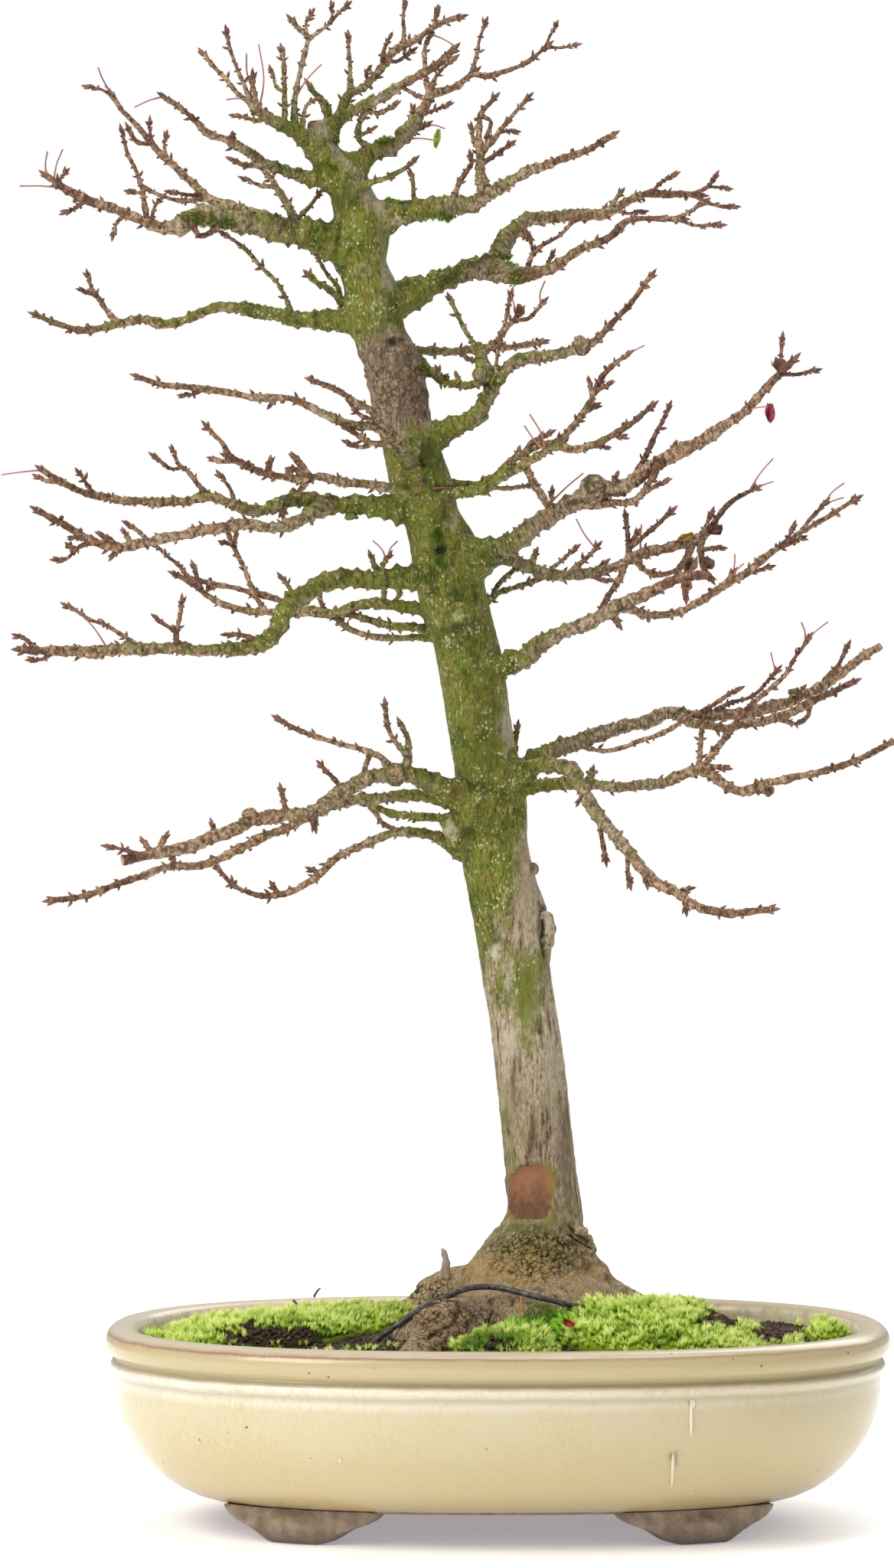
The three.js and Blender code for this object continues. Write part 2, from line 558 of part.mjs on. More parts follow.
    [[425, 799], [400, 795], [360, 783], [320, 772], [285, 764], [250, 757]], [
    ]],
  ['lowest_left_limb', [-4, -38, -70], [44, 30, 23, 20, 18, 16, 16, 16, 15, 14, 12],
    [[648, 1062], [605, 1046], [574, 1027], [547, 1015], [517, 1012], [482, 1017], [455, 1030], [432, 1045],
      [402, 1061], [367, 1067], [333, 1070], [306, 1084], [245, 1105], [207, 1114], [160, 1124]], [
      [[9, 8, 6], 8, [527, 1013], [534, 985], [533, 965], [524, 946]],
      [[7, 5], -6, [534, 990], [517, 968], [508, 950], [503, 921]],
      [[9, 8, 7, 5], -10, [512, 1012], [500, 990], [482, 982], [451, 973], [421, 965], [394, 955], [365, 940]],
      [[7, 5], 3, [474, 1019], [478, 1000], [482, 988]],
      [[6, 4], -8, [447, 1034], [430, 1010], [419, 999]],
      [[7, 6], 4, [376, 1065], [370, 1045], [367, 1032]],
      [[6, 4], -5, [184, 1121], [165, 1110], [142, 1106]],
      [[16, 14], -9, [516, 1012], [515, 1006]],
      [[14, 12], -2, [331, 1071], [324, 1061]],
      [[10, 8], 2, [410, 1057], [411, 1077]],
    ]],
  ['straight_left_limb', [0, -14, -26], [18, 15, 14, 13, 11, 11, 10, 9, 8, 7],
    [[640, 1058], [590, 1046], [559, 1041], [517, 1038], [490, 1043], [448, 1047], [421, 1056], [383, 1077],
      [344, 1094], [306, 1112], [275, 1128], [230, 1131], [207, 1135], [172, 1149], [142, 1160], [111, 1170],
      [67, 1176]], []],
  ['rear_low_left_limb', [6, 16, 24], [14, 10, 10, 9, 7],
    [[635, 1088], [590, 1072], [543, 1067], [505, 1060], [478, 1050]], [
      [[7, 6], 14, [484, 1053], [500, 1075], [517, 1085]],
    ]],
  ['arched_left_limb', [8, 30, 48], [22, 16, 13, 11, 10, 9, 8, 6, 5],
    [[650, 1134], [597, 1110], [574, 1095], [547, 1087], [517, 1088], [478, 1104], [444, 1118], [420, 1140],
      [405, 1153], [379, 1165], [346, 1170], [321, 1164], [302, 1153], [283, 1133]], [
    ]],
  ['high_right_limb', [-10, -24, -38], [38, 28, 25, 24, 20, 15, 12, 10, 8, 7],
    [[474, 292], [500, 281], [530, 277], [570, 270], [610, 267], [630, 258], [650, 247], [670, 233], [690, 223],
      [730, 210], [770, 195], [800, 177]], [
      [[6, 5], 4, [544, 274], [540, 240], [537, 228]],
      [[7, 5], -6, [590, 268], [600, 241], [617, 212], [615, 204]],
      [[14, 12, 8, 5], 8, [634, 255], [628, 225], [627, 195], [627, 160], [629, 148], [646, 128]],
      [[5, 4], 5, [627, 200], [618, 180], [616, 167]],
      [[5, 4], -4, [628, 150], [641, 157], [637, 178]],
      [[8, 6, 4], -10, [628, 198], [640, 187], [655, 168], [690, 128]],
      [[6, 5], 8, [630, 215], [652, 198], [667, 188]],
    ]],
  ['strong_right_limb', [-2, 10, 22], [38, 33, 28, 25, 22, 18, 15, 14, 11, 9, 6],
    [[486, 404], [515, 392], [540, 384], [570, 371], [600, 358], [640, 341], [657, 322], [670, 302], [690, 287],
      [710, 284], [770, 279], [795, 276], [835, 257], [850, 252], [870, 253], [915, 255]], [
      [[5, 4], -4, [905, 255], [925, 243], [934, 231]],
      [[5, 4], 5, [908, 255], [920, 262], [940, 268], [958, 270]],
      [[6, 5], 6, [795, 276], [803, 262], [811, 252]],
      [[5, 4], -5, [850, 252], [862, 240], [880, 229]],
      [[5, 4], 4, [806, 272], [815, 279], [838, 277]],
    ]],
  ['strong_right_limb_lower', ['strong_right_limb', -10, -20], [20, 16, 14, 11, 10, 9, 7, 6],
    [[632, 344], [650, 350], [665, 356], [690, 357], [730, 345], [745, 335], [760, 325], [795, 310], [815, 291],
      [830, 286], [890, 286]], [
      [[5, 4], -5, [880, 286], [905, 274], [920, 264]],
      [[5, 4], 4, [885, 286], [905, 294], [940, 294]],
      [[6, 5, 4], -6, [688, 357], [693, 335], [700, 326], [728, 310], [750, 287]],
    ]],
  ['dark_stub', ['strong_right_limb', -4, -10], [13, 12, 11, 7],
    [[615, 355], [640, 361], [660, 364], [680, 365], [700, 361]], []],
  ['curved_right_limb', [-6, -30, -46], [34, 27, 25, 22, 19, 17, 15, 14, 12, 8, 7, 6, 5],
    [[528, 590], [568, 569], [605, 553], [620, 543], [632, 527], [645, 508], [653, 494], [672, 474], [710, 465],
      [745, 457], [775, 447], [787, 438], [800, 422], [820, 400], [851, 360]], [
      [[16, 18, 15, 10], 5, [652, 497], [640, 490], [631, 478], [628, 462], [623, 448]],
      [[7, 6, 5], 10, [627, 460], [612, 440], [597, 412], [588, 390]],
      [[7, 6, 4], -8, [628, 464], [643, 452], [665, 425], [675, 418], [690, 415], [710, 395]],
      [[6, 5], 8, [655, 437], [660, 420], [668, 385]],
      [[5, 4], -12, [650, 497], [648, 475], [655, 438]],
      [[7, 5], -5, [630, 470], [613, 468], [604, 461]],
      [[14, 12], -5, [634, 488], [623, 487]],
      [[16, 14], -3, [760, 452], [765, 442]],
    ]],
  ['looped_right_limb', [2, -6, -18], [13, 11, 10, 9],
    [[518, 458], [540, 467], [555, 480], [570, 491], [585, 500], [605, 504], [622, 500], [636, 492]], [
    ]],
  ['brown_rear_limb', [3, 28, 44], [13, 11, 9, 9, 8, 9, 7],
    [[518, 465], [540, 460], [580, 460], [605, 458], [645, 452], [660, 453], [680, 452], [709, 446]], []],
  ['low_right_spray', [-12, -44, -66], [16, 13, 12, 12, 10, 9, 8, 7, 5],
    [[556, 662], [575, 650], [610, 642], [630, 640], [645, 632], [660, 620], [690, 603], [715, 590], [730, 585],
      [760, 586], [790, 573], [820, 557], [852, 531]], [
      [[9, 9], 16, [686, 606], [697, 628], [711, 655], [720, 674]],
      [[5, 4], 5, [772, 581], [783, 583], [791, 584]],
      [[6, 5, 4], -6, [637, 637], [660, 638], [697, 634]],
    ]],
  ['low_right_spray_upper', [-8, -36, -50], [11, 9, 9, 9, 8, 8, 7, 5],
    [[560, 642], [590, 632], [630, 633], [645, 624], [670, 601], [705, 582], [735, 571], [755, 550], [772, 520],
      [785, 495], [803, 475], [820, 463]], [
      [[6, 5], -5, [688, 591], [693, 580], [717, 566]],
    ]],
  ['big_right_limb', [-6, -24, -38], [42, 30, 26, 25, 22, 20, 20, 17, 17, 18, 14, 12, 10, 9, 8],
    [[596, 738], [632, 725], [650, 719], [670, 708], [692, 690], [722, 674], [756, 652], [775, 643], [807, 640],
      [832, 625], [858, 606], [883, 593], [920, 574], [940, 561], [975, 534], [1005, 503], [1037, 470]], [
      [[5, 4], -4, [1016, 492], [1020, 475], [1022, 443]],
      [[5, 4], 6, [1018, 490], [1040, 489], [1065, 484]],
      [[8, 6, 4], 8, [830, 626], [845, 592], [865, 550], [874, 531]],
      [[11, 10, 8, 7], -12, [746, 658], [775, 661], [798, 657], [824, 655], [843, 637], [862, 606]],
      [[7, 5], -5, [838, 643], [855, 636], [869, 629]],
      [[6, 4], -5, [718, 676], [721, 643]],
      [[22, 17], -5, [778, 643], [776, 637]],
    ]],
  ['right_limb_behind', [6, 26, 44], [24, 19, 16, 14, 14, 13, 12, 12, 12, 12, 8, 6, 5],
    [[596, 722], [640, 726], [670, 731], [683, 738], [713, 748], [743, 752], [777, 748], [815, 735], [841, 724],
      [880, 713], [915, 702], [926, 692], [937, 676], [960, 652], [988, 637]], [
      [[7, 5], 6, [742, 752], [760, 735], [780, 714]],
      [[5, 4], -6, [716, 748], [735, 730], [751, 717]],
      [[7, 5], 6, [822, 732], [821, 715], [817, 674]],
      [[6, 5], -8, [824, 716], [845, 697], [877, 668]],
      [[9, 9], -26, [816, 735], [812, 752], [792, 785], [782, 806]],
      [[8, 6], -8, [832, 728], [840, 742], [855, 750], [885, 745], [898, 735]],
      [[6, 5], -4, [772, 748], [782, 757], [795, 758]],
      [[9, 7], 6, [906, 706], [900, 722], [886, 746]],
      [[9, 8], -6, [918, 700], [915, 718], [918, 738], [928, 755]],
      [[6, 5], 5, [915, 718], [930, 716], [942, 716]],
      [[6, 4], -5, [916, 701], [929, 671]],
    ]],
  ['thin_right_twig', [8, 20, 27], [10, 8, 7, 7],
    [[600, 792], [636, 786], [655, 775], [690, 762], [716, 750]], [
      [[7, 6], 0, [645, 782], [655, 760], [676, 736]],
    ]],
  ['rising_right_limb', [-4, -26, -42], [38, 26, 23, 20, 18, 17, 16, 15, 13, 10],
    [[618, 892], [665, 868], [687, 861], [706, 842], [732, 826], [767, 814], [799, 798], [830, 782], [862, 766],
      [892, 754], [926, 751]], [
      [[9, 7], 4, [797, 799], [807, 814]],
    ]],
  ['rising_right_limb_lower', ['rising_right_limb', -10, 8], [12, 10, 9, 10, 8, 7, 6, 5],
    [[812, 792], [828, 797], [845, 803], [862, 804], [883, 801], [917, 784], [947, 764], [981, 744], [1011, 721],
      [1040, 700], [1067, 684], [1118, 652]], [
      [[6, 4], -5, [1050, 693], [1062, 675], [1078, 657]],
      [[6, 4], 4, [976, 747], [990, 745], [1005, 741]],
      [[6, 5], 5, [1024, 711], [1040, 707], [1048, 703]],
    ]],
  ['lower_right_limb', [8, 26, 44], [44, 28, 23, 21, 19, 17, 15, 14, 14, 15, 14, 13, 11, 11],
    [[640, 1034], [687, 1008], [706, 991], [732, 977], [760, 967], [802, 952], [842, 942], [877, 931], [904, 935],
      [968, 933], [1006, 924], [1051, 908], [1073, 897], [1095, 882], [1118, 864], [1150, 844]], [
      [[7, 6, 6], -8, [754, 969], [775, 978], [802, 980], [832, 970], [870, 955], [897, 938]],
      [[6, 5], -6, [912, 935], [937, 917], [964, 901]],
      [[6, 5, 4], 5, [926, 934], [957, 918], [980, 910], [995, 900], [1015, 876]],
      [[6, 5], -6, [1068, 900], [1085, 880], [1095, 870], [1107, 845]],
      [[5, 4], -8, [1026, 919], [1048, 900]],
    ]],
  ['lower_right_limb_second', ['lower_right_limb', 20, 14], [13, 11, 10, 10, 11, 10, 8, 7],
    [[886, 934], [901, 943], [928, 947], [948, 951], [966, 948], [1017, 937], [1062, 915], [1095, 900],
      [1115, 891]], [
      [[6, 6], 6, [1014, 938], [1030, 942], [1042, 944], [1055, 935], [1058, 918]],
    ]],
  ['level_right_limb', [2, -6, -16], [26, 18, 15, 13, 12, 14, 12, 13, 11, 9, 8, 8, 7],
    [[640, 1038], [700, 1026], [755, 1023], [786, 1026], [826, 1027], [865, 1023], [893, 1012], [912, 1006],
      [935, 1018], [950, 1026], [973, 1033], [990, 1030], [1005, 1022], [1051, 1013], [1095, 1002], [1140, 983],
      [1165, 970]], [
      [[12, 10], 3, [988, 1031], [1005, 1034]],
      [[8, 7], -4, [912, 1007], [935, 1002], [946, 1003]],
      [[7, 6], 26, [912, 1006], [914, 985], [918, 945]],
      [[9, 8, 7, 6, 4], 8, [914, 1006], [939, 975], [957, 949], [985, 918], [1015, 892], [1029, 879], [1040, 859],
        [1056, 834]],
      [[10, 8], 3, [768, 1025], [773, 1009]],
    ]],
  ['drooping_right_limb', [-8, -44, -84], [24, 20, 18, 17, 15, 14, 14, 13, 12, 10, 9, 8],
    [[650, 1022], [690, 1005], [712, 999], [735, 1000], [748, 1008], [764, 1034], [782, 1066], [798, 1083],
      [822, 1112], [842, 1138], [865, 1157], [893, 1173], [924, 1188], [952, 1193], [1007, 1188]], [
      [[6, 5], -4, [786, 1070], [786, 1090], [791, 1122]],
      [[5, 5], 4, [823, 1113], [821, 1135], [823, 1153]],
      [[5, 4], -3, [866, 1158], [885, 1163], [899, 1161]],
    ]],
  ['side_twig', [8, 12, 12], [7, 6, 4],
    [[652, 1008], [672, 985], [673, 968], [676, 950]], []],
  ['back_limb', [12, 70, 120], [16, 12, 9, 6],
    [[614, 915], [612, 885], [610, 862], [604, 838]], [
      [[6, 5], 26, [611, 868], [622, 855], [630, 846]],
    ]],
  ['upper_back_limb', [10, 55, 95], [13, 10, 7, 5],
    [[541, 610], [541, 590], [536, 568], [530, 546]], [
      [[5, 4], 20, [538, 575], [530, 560], [522, 555]],
    ]],
];
const LIMB_STEP = 24;
const TWIG_STEP = 22;
const BUD_WIDTH = 6;
const BUD_LENGTH = 5;
const BUD_SWELL = 1.4;
const BUD_POINT = 0.3;

function sidesFor(width) {
  if (width > 22) {
    return 6;
  }
  if (width > 14) {
    return 5;
  }
  return width > 8 ? 4 : 3;
}

// The place on the given spines that looks nearest to a point of the front view
function nearestPlace(spines, [u, v]) {
  let best = null;
  let bestDistance = Infinity;
  for (const spine of spines) {
    for (let i = 1; i < spine.length; i++) {
      for (let t = 0; t < 1; t += 0.1) {
        const place = spine[i - 1].clone().lerp(spine[i], t);
        const target = seen(u, v, place.y);
        const distance = target.distanceTo(place);
        if (distance < bestDistance) {
          best = place;
          bestDistance = distance;
        }
      }
    }
  }
  return best;
}

const toRadii = (widths) => widths.map((width) => width * HALF_PIXEL);

// Every limb keeps its sticks' spines, so that twigs and side limbs can start on them
const spines = {};

function limb([name, depths, widths, outline, twigs]) {
  const [rootDepth, middle, tip] = depths;
  const start = spines[rootDepth] ? nearestPlace(spines[rootDepth], outline[0]) : seen(...outline[0], rootDepth);
  const last = outline.length - 1;
  const route = outline.map(([u, v], i) => {
    const t = 2 * i / last;
    const depth = t < 1 ? THREE.MathUtils.lerp(start.y, middle, t) : THREE.MathUtils.lerp(middle, tip, t - 1);
    return seen(u, v, depth);
  });
  route[0] = start;
  const main = stick(route, toRadii(widths), sidesFor(Math.max(...widths.slice(1))), LIMB_STEP);
  spines[name] = [main.spine];
  const bodies = [main.body];
  for (const [twigWidths, lean, first, ...rest] of twigs) {
    const root = nearestPlace(spines[name], first);
    const way = rest.map(([u, v], i) => seen(u, v, root.y + lean * (i + 1) / rest.length));
    const bud = twigWidths.at(-1) <= BUD_WIDTH ? BUD_LENGTH : 0;
    const twig = stick([root, ...way], toRadii(twigWidths), sidesFor(twigWidths[0]), TWIG_STEP, bud);
    spines[name].push(twig.spine);
    bodies.push(twig.body);
  }
  return join(bodies);
}

// The tie wire runs from under the pot up through one wire hole, over the root base and down through another
const WIRE_UNDER = POT_BOTTOM - WIRE_RADIUS - 1;
const [HOLE_X, HOLE_Y] = WIRE_HOLE;
const WIRE_ROUTE = [
  new THREE.Vector3(-HOLE_X + 24, -HOLE_Y, WIRE_UNDER),
  new THREE.Vector3(-HOLE_X + 14, -HOLE_Y, WIRE_UNDER),
  new THREE.Vector3(-HOLE_X + 6, -HOLE_Y, WIRE_UNDER),
  new THREE.Vector3(-HOLE_X + 1.5, -HOLE_Y, 12),
  new THREE.Vector3(-HOLE_X, -HOLE_Y, 17),
  new THREE.Vector3(-HOLE_X, -HOLE_Y, 24),
  new THREE.Vector3(-HOLE_X - 6, -HOLE_Y - 3, 50),
  seen(478, 1772, -46),
  seen(487, 1754, -47),
  seen(507, 1739, -49),
  seen(536, 1719, -50),
  seen(565, 1702, -47),
  seen(593, 1689, -44),
  seen(616, 1682, -40),
  seen(645, 1681, -34),
  seen(674, 1687, -35),
  seen(697, 1693, -37),
  seen(720, 1698, -38),
  seen(745, 1704, -37),
  seen(769, 1709, -36),
  seen(789, 1716, -36),
  new THREE.Vector3(49, -37, 78),
  new THREE.Vector3(HOLE_X + 8, -HOLE_Y - 2, 50),
  new THREE.Vector3(HOLE_X, -HOLE_Y, 24),
  new THREE.Vector3(HOLE_X, -HOLE_Y, 17),
  new THREE.Vector3(HOLE_X - 1.5, -HOLE_Y, 12),
  new THREE.Vector3(HOLE_X - 6, -HOLE_Y, WIRE_UNDER),
  new THREE.Vector3(HOLE_X - 14, -HOLE_Y, WIRE_UNDER),
  new THREE.Vector3(HOLE_X - 24, -HOLE_Y, WIRE_UNDER),
];

function wire(grow = 0) {
  const curve = new THREE.CatmullRomCurve3(WIRE_ROUTE, false, 'centripetal');
  const section = new THREE.Shape();
  section.absarc(0, 0, WIRE_RADIUS + grow, 0, Math.PI * 2);
  const geometry = new THREE.ExtrudeGeometry(section, { steps: 54, extrudePath: curve, curveSegments: 3 });
  return solid(geometry);
}

const roots = rootBase(CLEARANCE);
const wireRoom = wire(CLEARANCE);
const tree = join([rootBase(), ...LIMBS.map(limb)]).subtract(wireRoom);
let ground = soil().subtract(roots).subtract(wireRoom);
for (const end of [-1, 1]) {
  ground = ground.subtract(screenRoom(end));
}

const whole = new THREE.Group();
whole.add(mesh('pot', pot(), 0xd8cfae, 0.35));
whole.add(mesh('tree', tree, 0x6f6a3c, 0.9));
for (const [name, place] of Object.entries(MOSS)) {
  ground = ground.subtract(cushion(place, CLEARANCE));
  whole.add(mesh(name, seatedMoss(place), 0x5f7a26, 1));
}
whole.add(mesh('soil', ground, 0x3a2c20, 1));
whole.add(mesh('tie_wire', wire(), 0x2b2b2d, 0.5, 0.6));
whole.add(mesh('drainage_screen_left', screen(-1), 0x2a2a2a, 0.7));
whole.add(mesh('drainage_screen_right', screen(1), 0x2a2a2a, 0.7));

// The origin is the middle of the base of everything together
const span = new THREE.Box3().setFromObject(whole);
whole.position.set(-(span.min.x + span.max.x) / 2, -(span.min.y + span.max.y) / 2, -span.min.z);
whole.updateMatrixWorld(true);

export default whole;
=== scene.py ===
# %% [markdown]
# A trident maple pre-bonsai, bare in winter, in an oval cream glazed pot.
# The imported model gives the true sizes: every fine piece below is laid over one of its solids.
# All shapes are worked out in millimetres, as a grower would measure them, and stored in metres.

# %% Load the frame
import math
import random

import bpy
import numpy as np
from mathutils import Matrix, Vector, noise
from mathutils.kdtree import KDTree


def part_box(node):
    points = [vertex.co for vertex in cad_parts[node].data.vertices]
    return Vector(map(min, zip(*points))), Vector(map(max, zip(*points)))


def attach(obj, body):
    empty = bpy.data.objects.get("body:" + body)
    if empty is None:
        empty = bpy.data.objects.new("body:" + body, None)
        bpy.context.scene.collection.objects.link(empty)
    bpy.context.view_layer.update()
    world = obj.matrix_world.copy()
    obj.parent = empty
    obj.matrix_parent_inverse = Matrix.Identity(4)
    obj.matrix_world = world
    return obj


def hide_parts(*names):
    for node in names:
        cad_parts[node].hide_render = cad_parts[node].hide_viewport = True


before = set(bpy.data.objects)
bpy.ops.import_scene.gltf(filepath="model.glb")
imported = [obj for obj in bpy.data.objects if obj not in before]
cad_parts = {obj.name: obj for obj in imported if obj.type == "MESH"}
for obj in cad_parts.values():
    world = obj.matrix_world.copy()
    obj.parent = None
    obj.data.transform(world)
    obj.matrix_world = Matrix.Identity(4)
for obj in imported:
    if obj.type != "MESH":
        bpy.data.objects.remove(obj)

random.seed(11)
noise.seed_set(11)
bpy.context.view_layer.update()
MM = 0.001
pot_low, pot_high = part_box("pot")
SHIFT = (pot_low[0] + pot_high[0]) / 2 / MM

# %% [markdown]
# The front view fixes where things are: u runs right and v runs down in steps of 0.342 mm at the
# pot's middle, seen from 2.4 m away. Depth is in millimetres behind the pot's middle.

# %% From the front view to millimetres
PIXEL = 0.342
EYE_DISTANCE = 2400
EYE_X = -22.6
EYE_Z = 329
EYE_U = 584
EYE_V = 1024


def seen(u, v, depth):
    scale = PIXEL * (EYE_DISTANCE + depth) / EYE_DISTANCE
    return Vector((EYE_X + (u - EYE_U) * scale, depth, EYE_Z - (v - EYE_V) * scale))


def in_view(place):
    """The u and v at which a place in millimetres is seen."""
    scale = PIXEL * (EYE_DISTANCE + place.y) / EYE_DISTANCE
    return EYE_U + (place.x - EYE_X) / scale, EYE_V - (place.z - EYE_Z) / scale


print("apex at", [round(c) for c in seen(414, 157, -14)], "mm")

# %% [markdown]
# Small tools that every step uses: a clean selection, a finished piece that rides on the model's
# body, a colour in linear light, one function that adds any shader node with its settings and
# links, and a few patterns that are made of several nodes.

# %% Tools for pieces
def deselect():
    bpy.ops.object.select_all(action="DESELECT")


def only(obj):
    deselect()
    obj.select_set(True)
    bpy.context.view_layer.objects.active = obj


def apply_modifier(obj, kind, **settings):
    only(obj)
    modifier = obj.modifiers.new(kind.title(), kind)
    for key, value in settings.items():
        setattr(modifier, key, value)
    bpy.ops.object.modifier_apply(modifier=modifier.name)


def join(objects, name):
    deselect()
    for obj in objects:
        obj.select_set(True)
    bpy.context.view_layer.objects.active = objects[0]
    if len(objects) > 1:
        bpy.ops.object.join()
    objects[0].name = name
    return objects[0]


def settle(obj):
    only(obj)
    bpy.ops.object.transform_apply(location=True, rotation=True, scale=True)


def metres(place):
    """A place in the object's metres, from millimetres off the pot's middle."""
    return Vector((place[0] + SHIFT, place[1], place[2])) * MM


def in_mm(co):
    return co / MM - Vector((SHIFT, 0, 0))


def reshape(obj, rule):
    """Moves every vertex by a rule that reads and gives millimetres from the pot's middle."""
    for vertex in obj.data.vertices:
        vertex.co = metres(rule(in_mm(vertex.co)))
    obj.data.update()


def new_object(name, data):
    obj = bpy.data.objects.new(name, data)
    bpy.context.scene.collection.objects.link(obj)
    return obj


def write_values(obj, name, values):
    """Keeps one number for every vertex, for the material to read."""
    obj.data.attributes.new(name, "FLOAT", "POINT").data.foreach_set("value", values)


def finish_piece(obj, material, stands_for=(), smooth=True):
    obj.data.materials.clear()
    obj.data.materials.append(material)
    only(obj)
    if smooth:
        bpy.ops.object.shade_smooth()
    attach(obj, "root")
    if stands_for:
        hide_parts(*stands_for)
    faces = sum(len(face.vertices) - 2 for face in obj.data.polygons)
    print(obj.name, faces, "triangles")


def scatter(template, places, name):
    """Copies a small mesh to many places, each a 4x4 matrix in millimetres, as one piece."""
    corners = np.array([vertex.co[:] for vertex in template.data.vertices])
    faces = [list(face.vertices) for face in template.data.polygons]
    count = len(corners)
    all_corners = []
    all_faces = []
    for index, matrix in enumerate(places):
        turn = np.array(matrix)
        moved = corners @ turn[:3, :3].T + turn[:3, 3]
        moved[:, 0] += SHIFT
        all_corners.append(moved * MM)
        all_faces.extend([[corner + index * count for corner in face] for face in faces])
    mesh = bpy.data.meshes.new(name)
    mesh.from_pydata(np.concatenate(all_corners).tolist(), [], all_faces)
    mesh.validate()
    bpy.data.objects.remove(template)
    return new_object(name, mesh)


print("tools ready")

# %% Tools for finishes
def colour(hex_code):
    """An sRGB hex colour in linear light, with alpha 1."""
    parts = [int(hex_code[i:i + 2], 16) / 255 for i in (0, 2, 4)]
    linear = [c / 12.92 if c <= 0.04045 else ((c + 0.055) / 1.055) ** 2.4 for c in parts]
    return (*linear, 1)


def add(material, kind, output, inputs, stops=(), **settings):
    """Adds one node and gives one of its outputs. Settings are the node's own choices and stops a
    ramp's colours; inputs are values, hex colours or outputs of other nodes, which it links."""
    node = material.node_tree.nodes.new("ShaderNode" + kind)
    for key, value in settings.items():
        setattr(node, key, value)
    for _ in stops[2:]:
        node.color_ramp.elements.new(0.5)
    for i, (place, tone) in enumerate(stops):
        node.color_ramp.elements[i].position = place
        node.color_ramp.elements[i].color = colour(tone) if isinstance(tone, str) else tone
    for key, value in inputs.items():
        if isinstance(value, bpy.types.NodeSocket):
            material.node_tree.links.new(value, node.inputs[key])
        else:
            node.inputs[key].default_value = colour(value) if isinstance(value, str) else value
    return node.outputs[output] if node.outputs else None


def new_material(name):
    """An empty material, and the place on the object that its patterns are laid out by."""
    material = bpy.data.materials.new(name)
    material.use_nodes = True
    material.node_tree.nodes.clear()
    return material, add(material, "TexCoord", "Object", {})


def waves(place, size_mm, detail=3.0, roughness=0.5):
    """Noise inputs for features about this many millimetres apart."""
    return {"Vector": place, "Scale": 1 / (size_mm * MM), "Detail": detail, "Roughness": roughness}


def swayed(material, value, share, noise_inputs):
    """A value plus a share of noise."""
    field = add(material, "TexNoise", "Fac", noise_inputs)
    return add(material, "Math", 0, {0: field, 1: share, 2: value}, operation="MULTIPLY_ADD")


def patches(material, place, size_mm, low, high):
    """A black to white mask of soft patches of that size."""
    field = add(material, "TexNoise", "Fac", waves(place, size_mm, 4.0, 0.6))
    return add(material, "ValToRGB", "Color", {"Fac": field}, [(low, "000000"), (high, "FFFFFF")])


def cell_marks(material, place, size_mm, low, high, **settings):
    """A mask of scattered cells: white up to low at a cell's middle, or at its edge, black from high."""
    field = add(material, "TexVoronoi", "Distance", {"Vector": place, "Scale": 1 / (size_mm * MM)}, **settings)
    return add(material, "ValToRGB", "Color", {"Fac": field}, [(low, "FFFFFF"), (high, "000000")])


def fine_relief(material, noise_inputs, depth_mm, strength):
    """Small dents from noise, for a shader's normal."""
    height = add(material, "TexNoise", "Fac", noise_inputs)
    return add(material, "Bump", 0, {"Height": height, "Distance": depth_mm * MM, "Strength": strength})


def over(material, mask, first, second, low=0.0, high=1.0, top=1.0):
    """The second tone over the first, none of it where the mask is low and all where it is high."""
    share = {"Value": mask, "From Min": low, "From Max": high, "To Max": top}
    share = add(material, "MapRange", "Result", share)
    return add(material, "Mix", 2, {0: share, 6: first, 7: second}, data_type="RGBA")


def finish_with(material, tone, roughness, **sockets):
    """Ends a material in a shader; an underscore stands for the space in a socket's name."""
    more = {name.replace("_", " "): value for name, value in sockets.items()}
    shader = add(material, "BsdfPrincipled", "BSDF", {"Base Color": tone, "Roughness": roughness, **more})
    add(material, "OutputMaterial", 0, {"Surface": shader})
    return material


def plain(name, tone, roughness, **sockets):
    return finish_with(new_material(name)[0], tone, roughness, **sockets)


def mottled(name, size_mm, low, high, first, second, roughness, **sockets):
    """A finish of two tones in soft patches."""
    material, place = new_material(name)
    tone = over(material, patches(material, place, size_mm, low, high), first, second)
    return finish_with(material, tone, roughness, **sockets)


print("a 4 mm pattern has scale", waves(None, 4)["Scale"])

# %% [markdown]
# Bark is painted from three things a maple shows: where on the tree it is, which way it faces,
# and grain. Green algae covers the left and front, pale bark looks out on the right, the graft
# band is dark and rough, and the root flare is flaky and tan. Height picks the ground colour,
# stretched noise draws the fibres and darkens the low parts of their relief, partly the bark's own
# colour and partly painted shade in the grooves, and small cells draw the pale lenticels. On limbs
# and twigs the dark rings of old leaf scars lie in grooves too, partly their own colour and partly
# painted shade.

# %% Bark of the trunk
def crust_lines(material, place, tone):
    """Dark gaps between small plates, where the piece's crust attribute says so."""
    sway = add(material, "TexNoise", "Color", waves(place, 5))
    bent = {0: sway, 1: (0.007, 0.007, 0.007), 2: place}
    bent = add(material, "VectorMath", 0, bent, operation="MULTIPLY_ADD")
    share = cell_marks(material, bent, 3.2, 0.04, 0.15, feature="DISTANCE_TO_EDGE")
    crust = add(material, "Attribute", "Fac", {}, attribute_name="crust")
    for part in (crust, patches(material, place, 6, 0.28, 0.5)):
        share = add(material, "Math", 0, {0: share, 1: part}, operation="MULTIPLY")
    return over(material, share, tone, "42371E")


def age_tones(material, place, ground):
    """Wood a few years old is pale grey, last year's is orange-brown and its tip dark."""
    young = add(material, "Attribute", "Fac", {}, attribute_name="young")
    age = swayed(material, young, 1.1, waves(place, 16))
    fine = patches(material, place, 2, 0.42, 0.58)
    for start, end, light, shade in ((0.6, 0.85, "C8B698", "877456"), (0.98, 1.2, "CBAE8E", "86664A"),
                                     (1.4, 1.6, "96705A", "64483A")):
        ground = over(material, age, ground, over(material, fine, shade, light), start, end)
    return ground


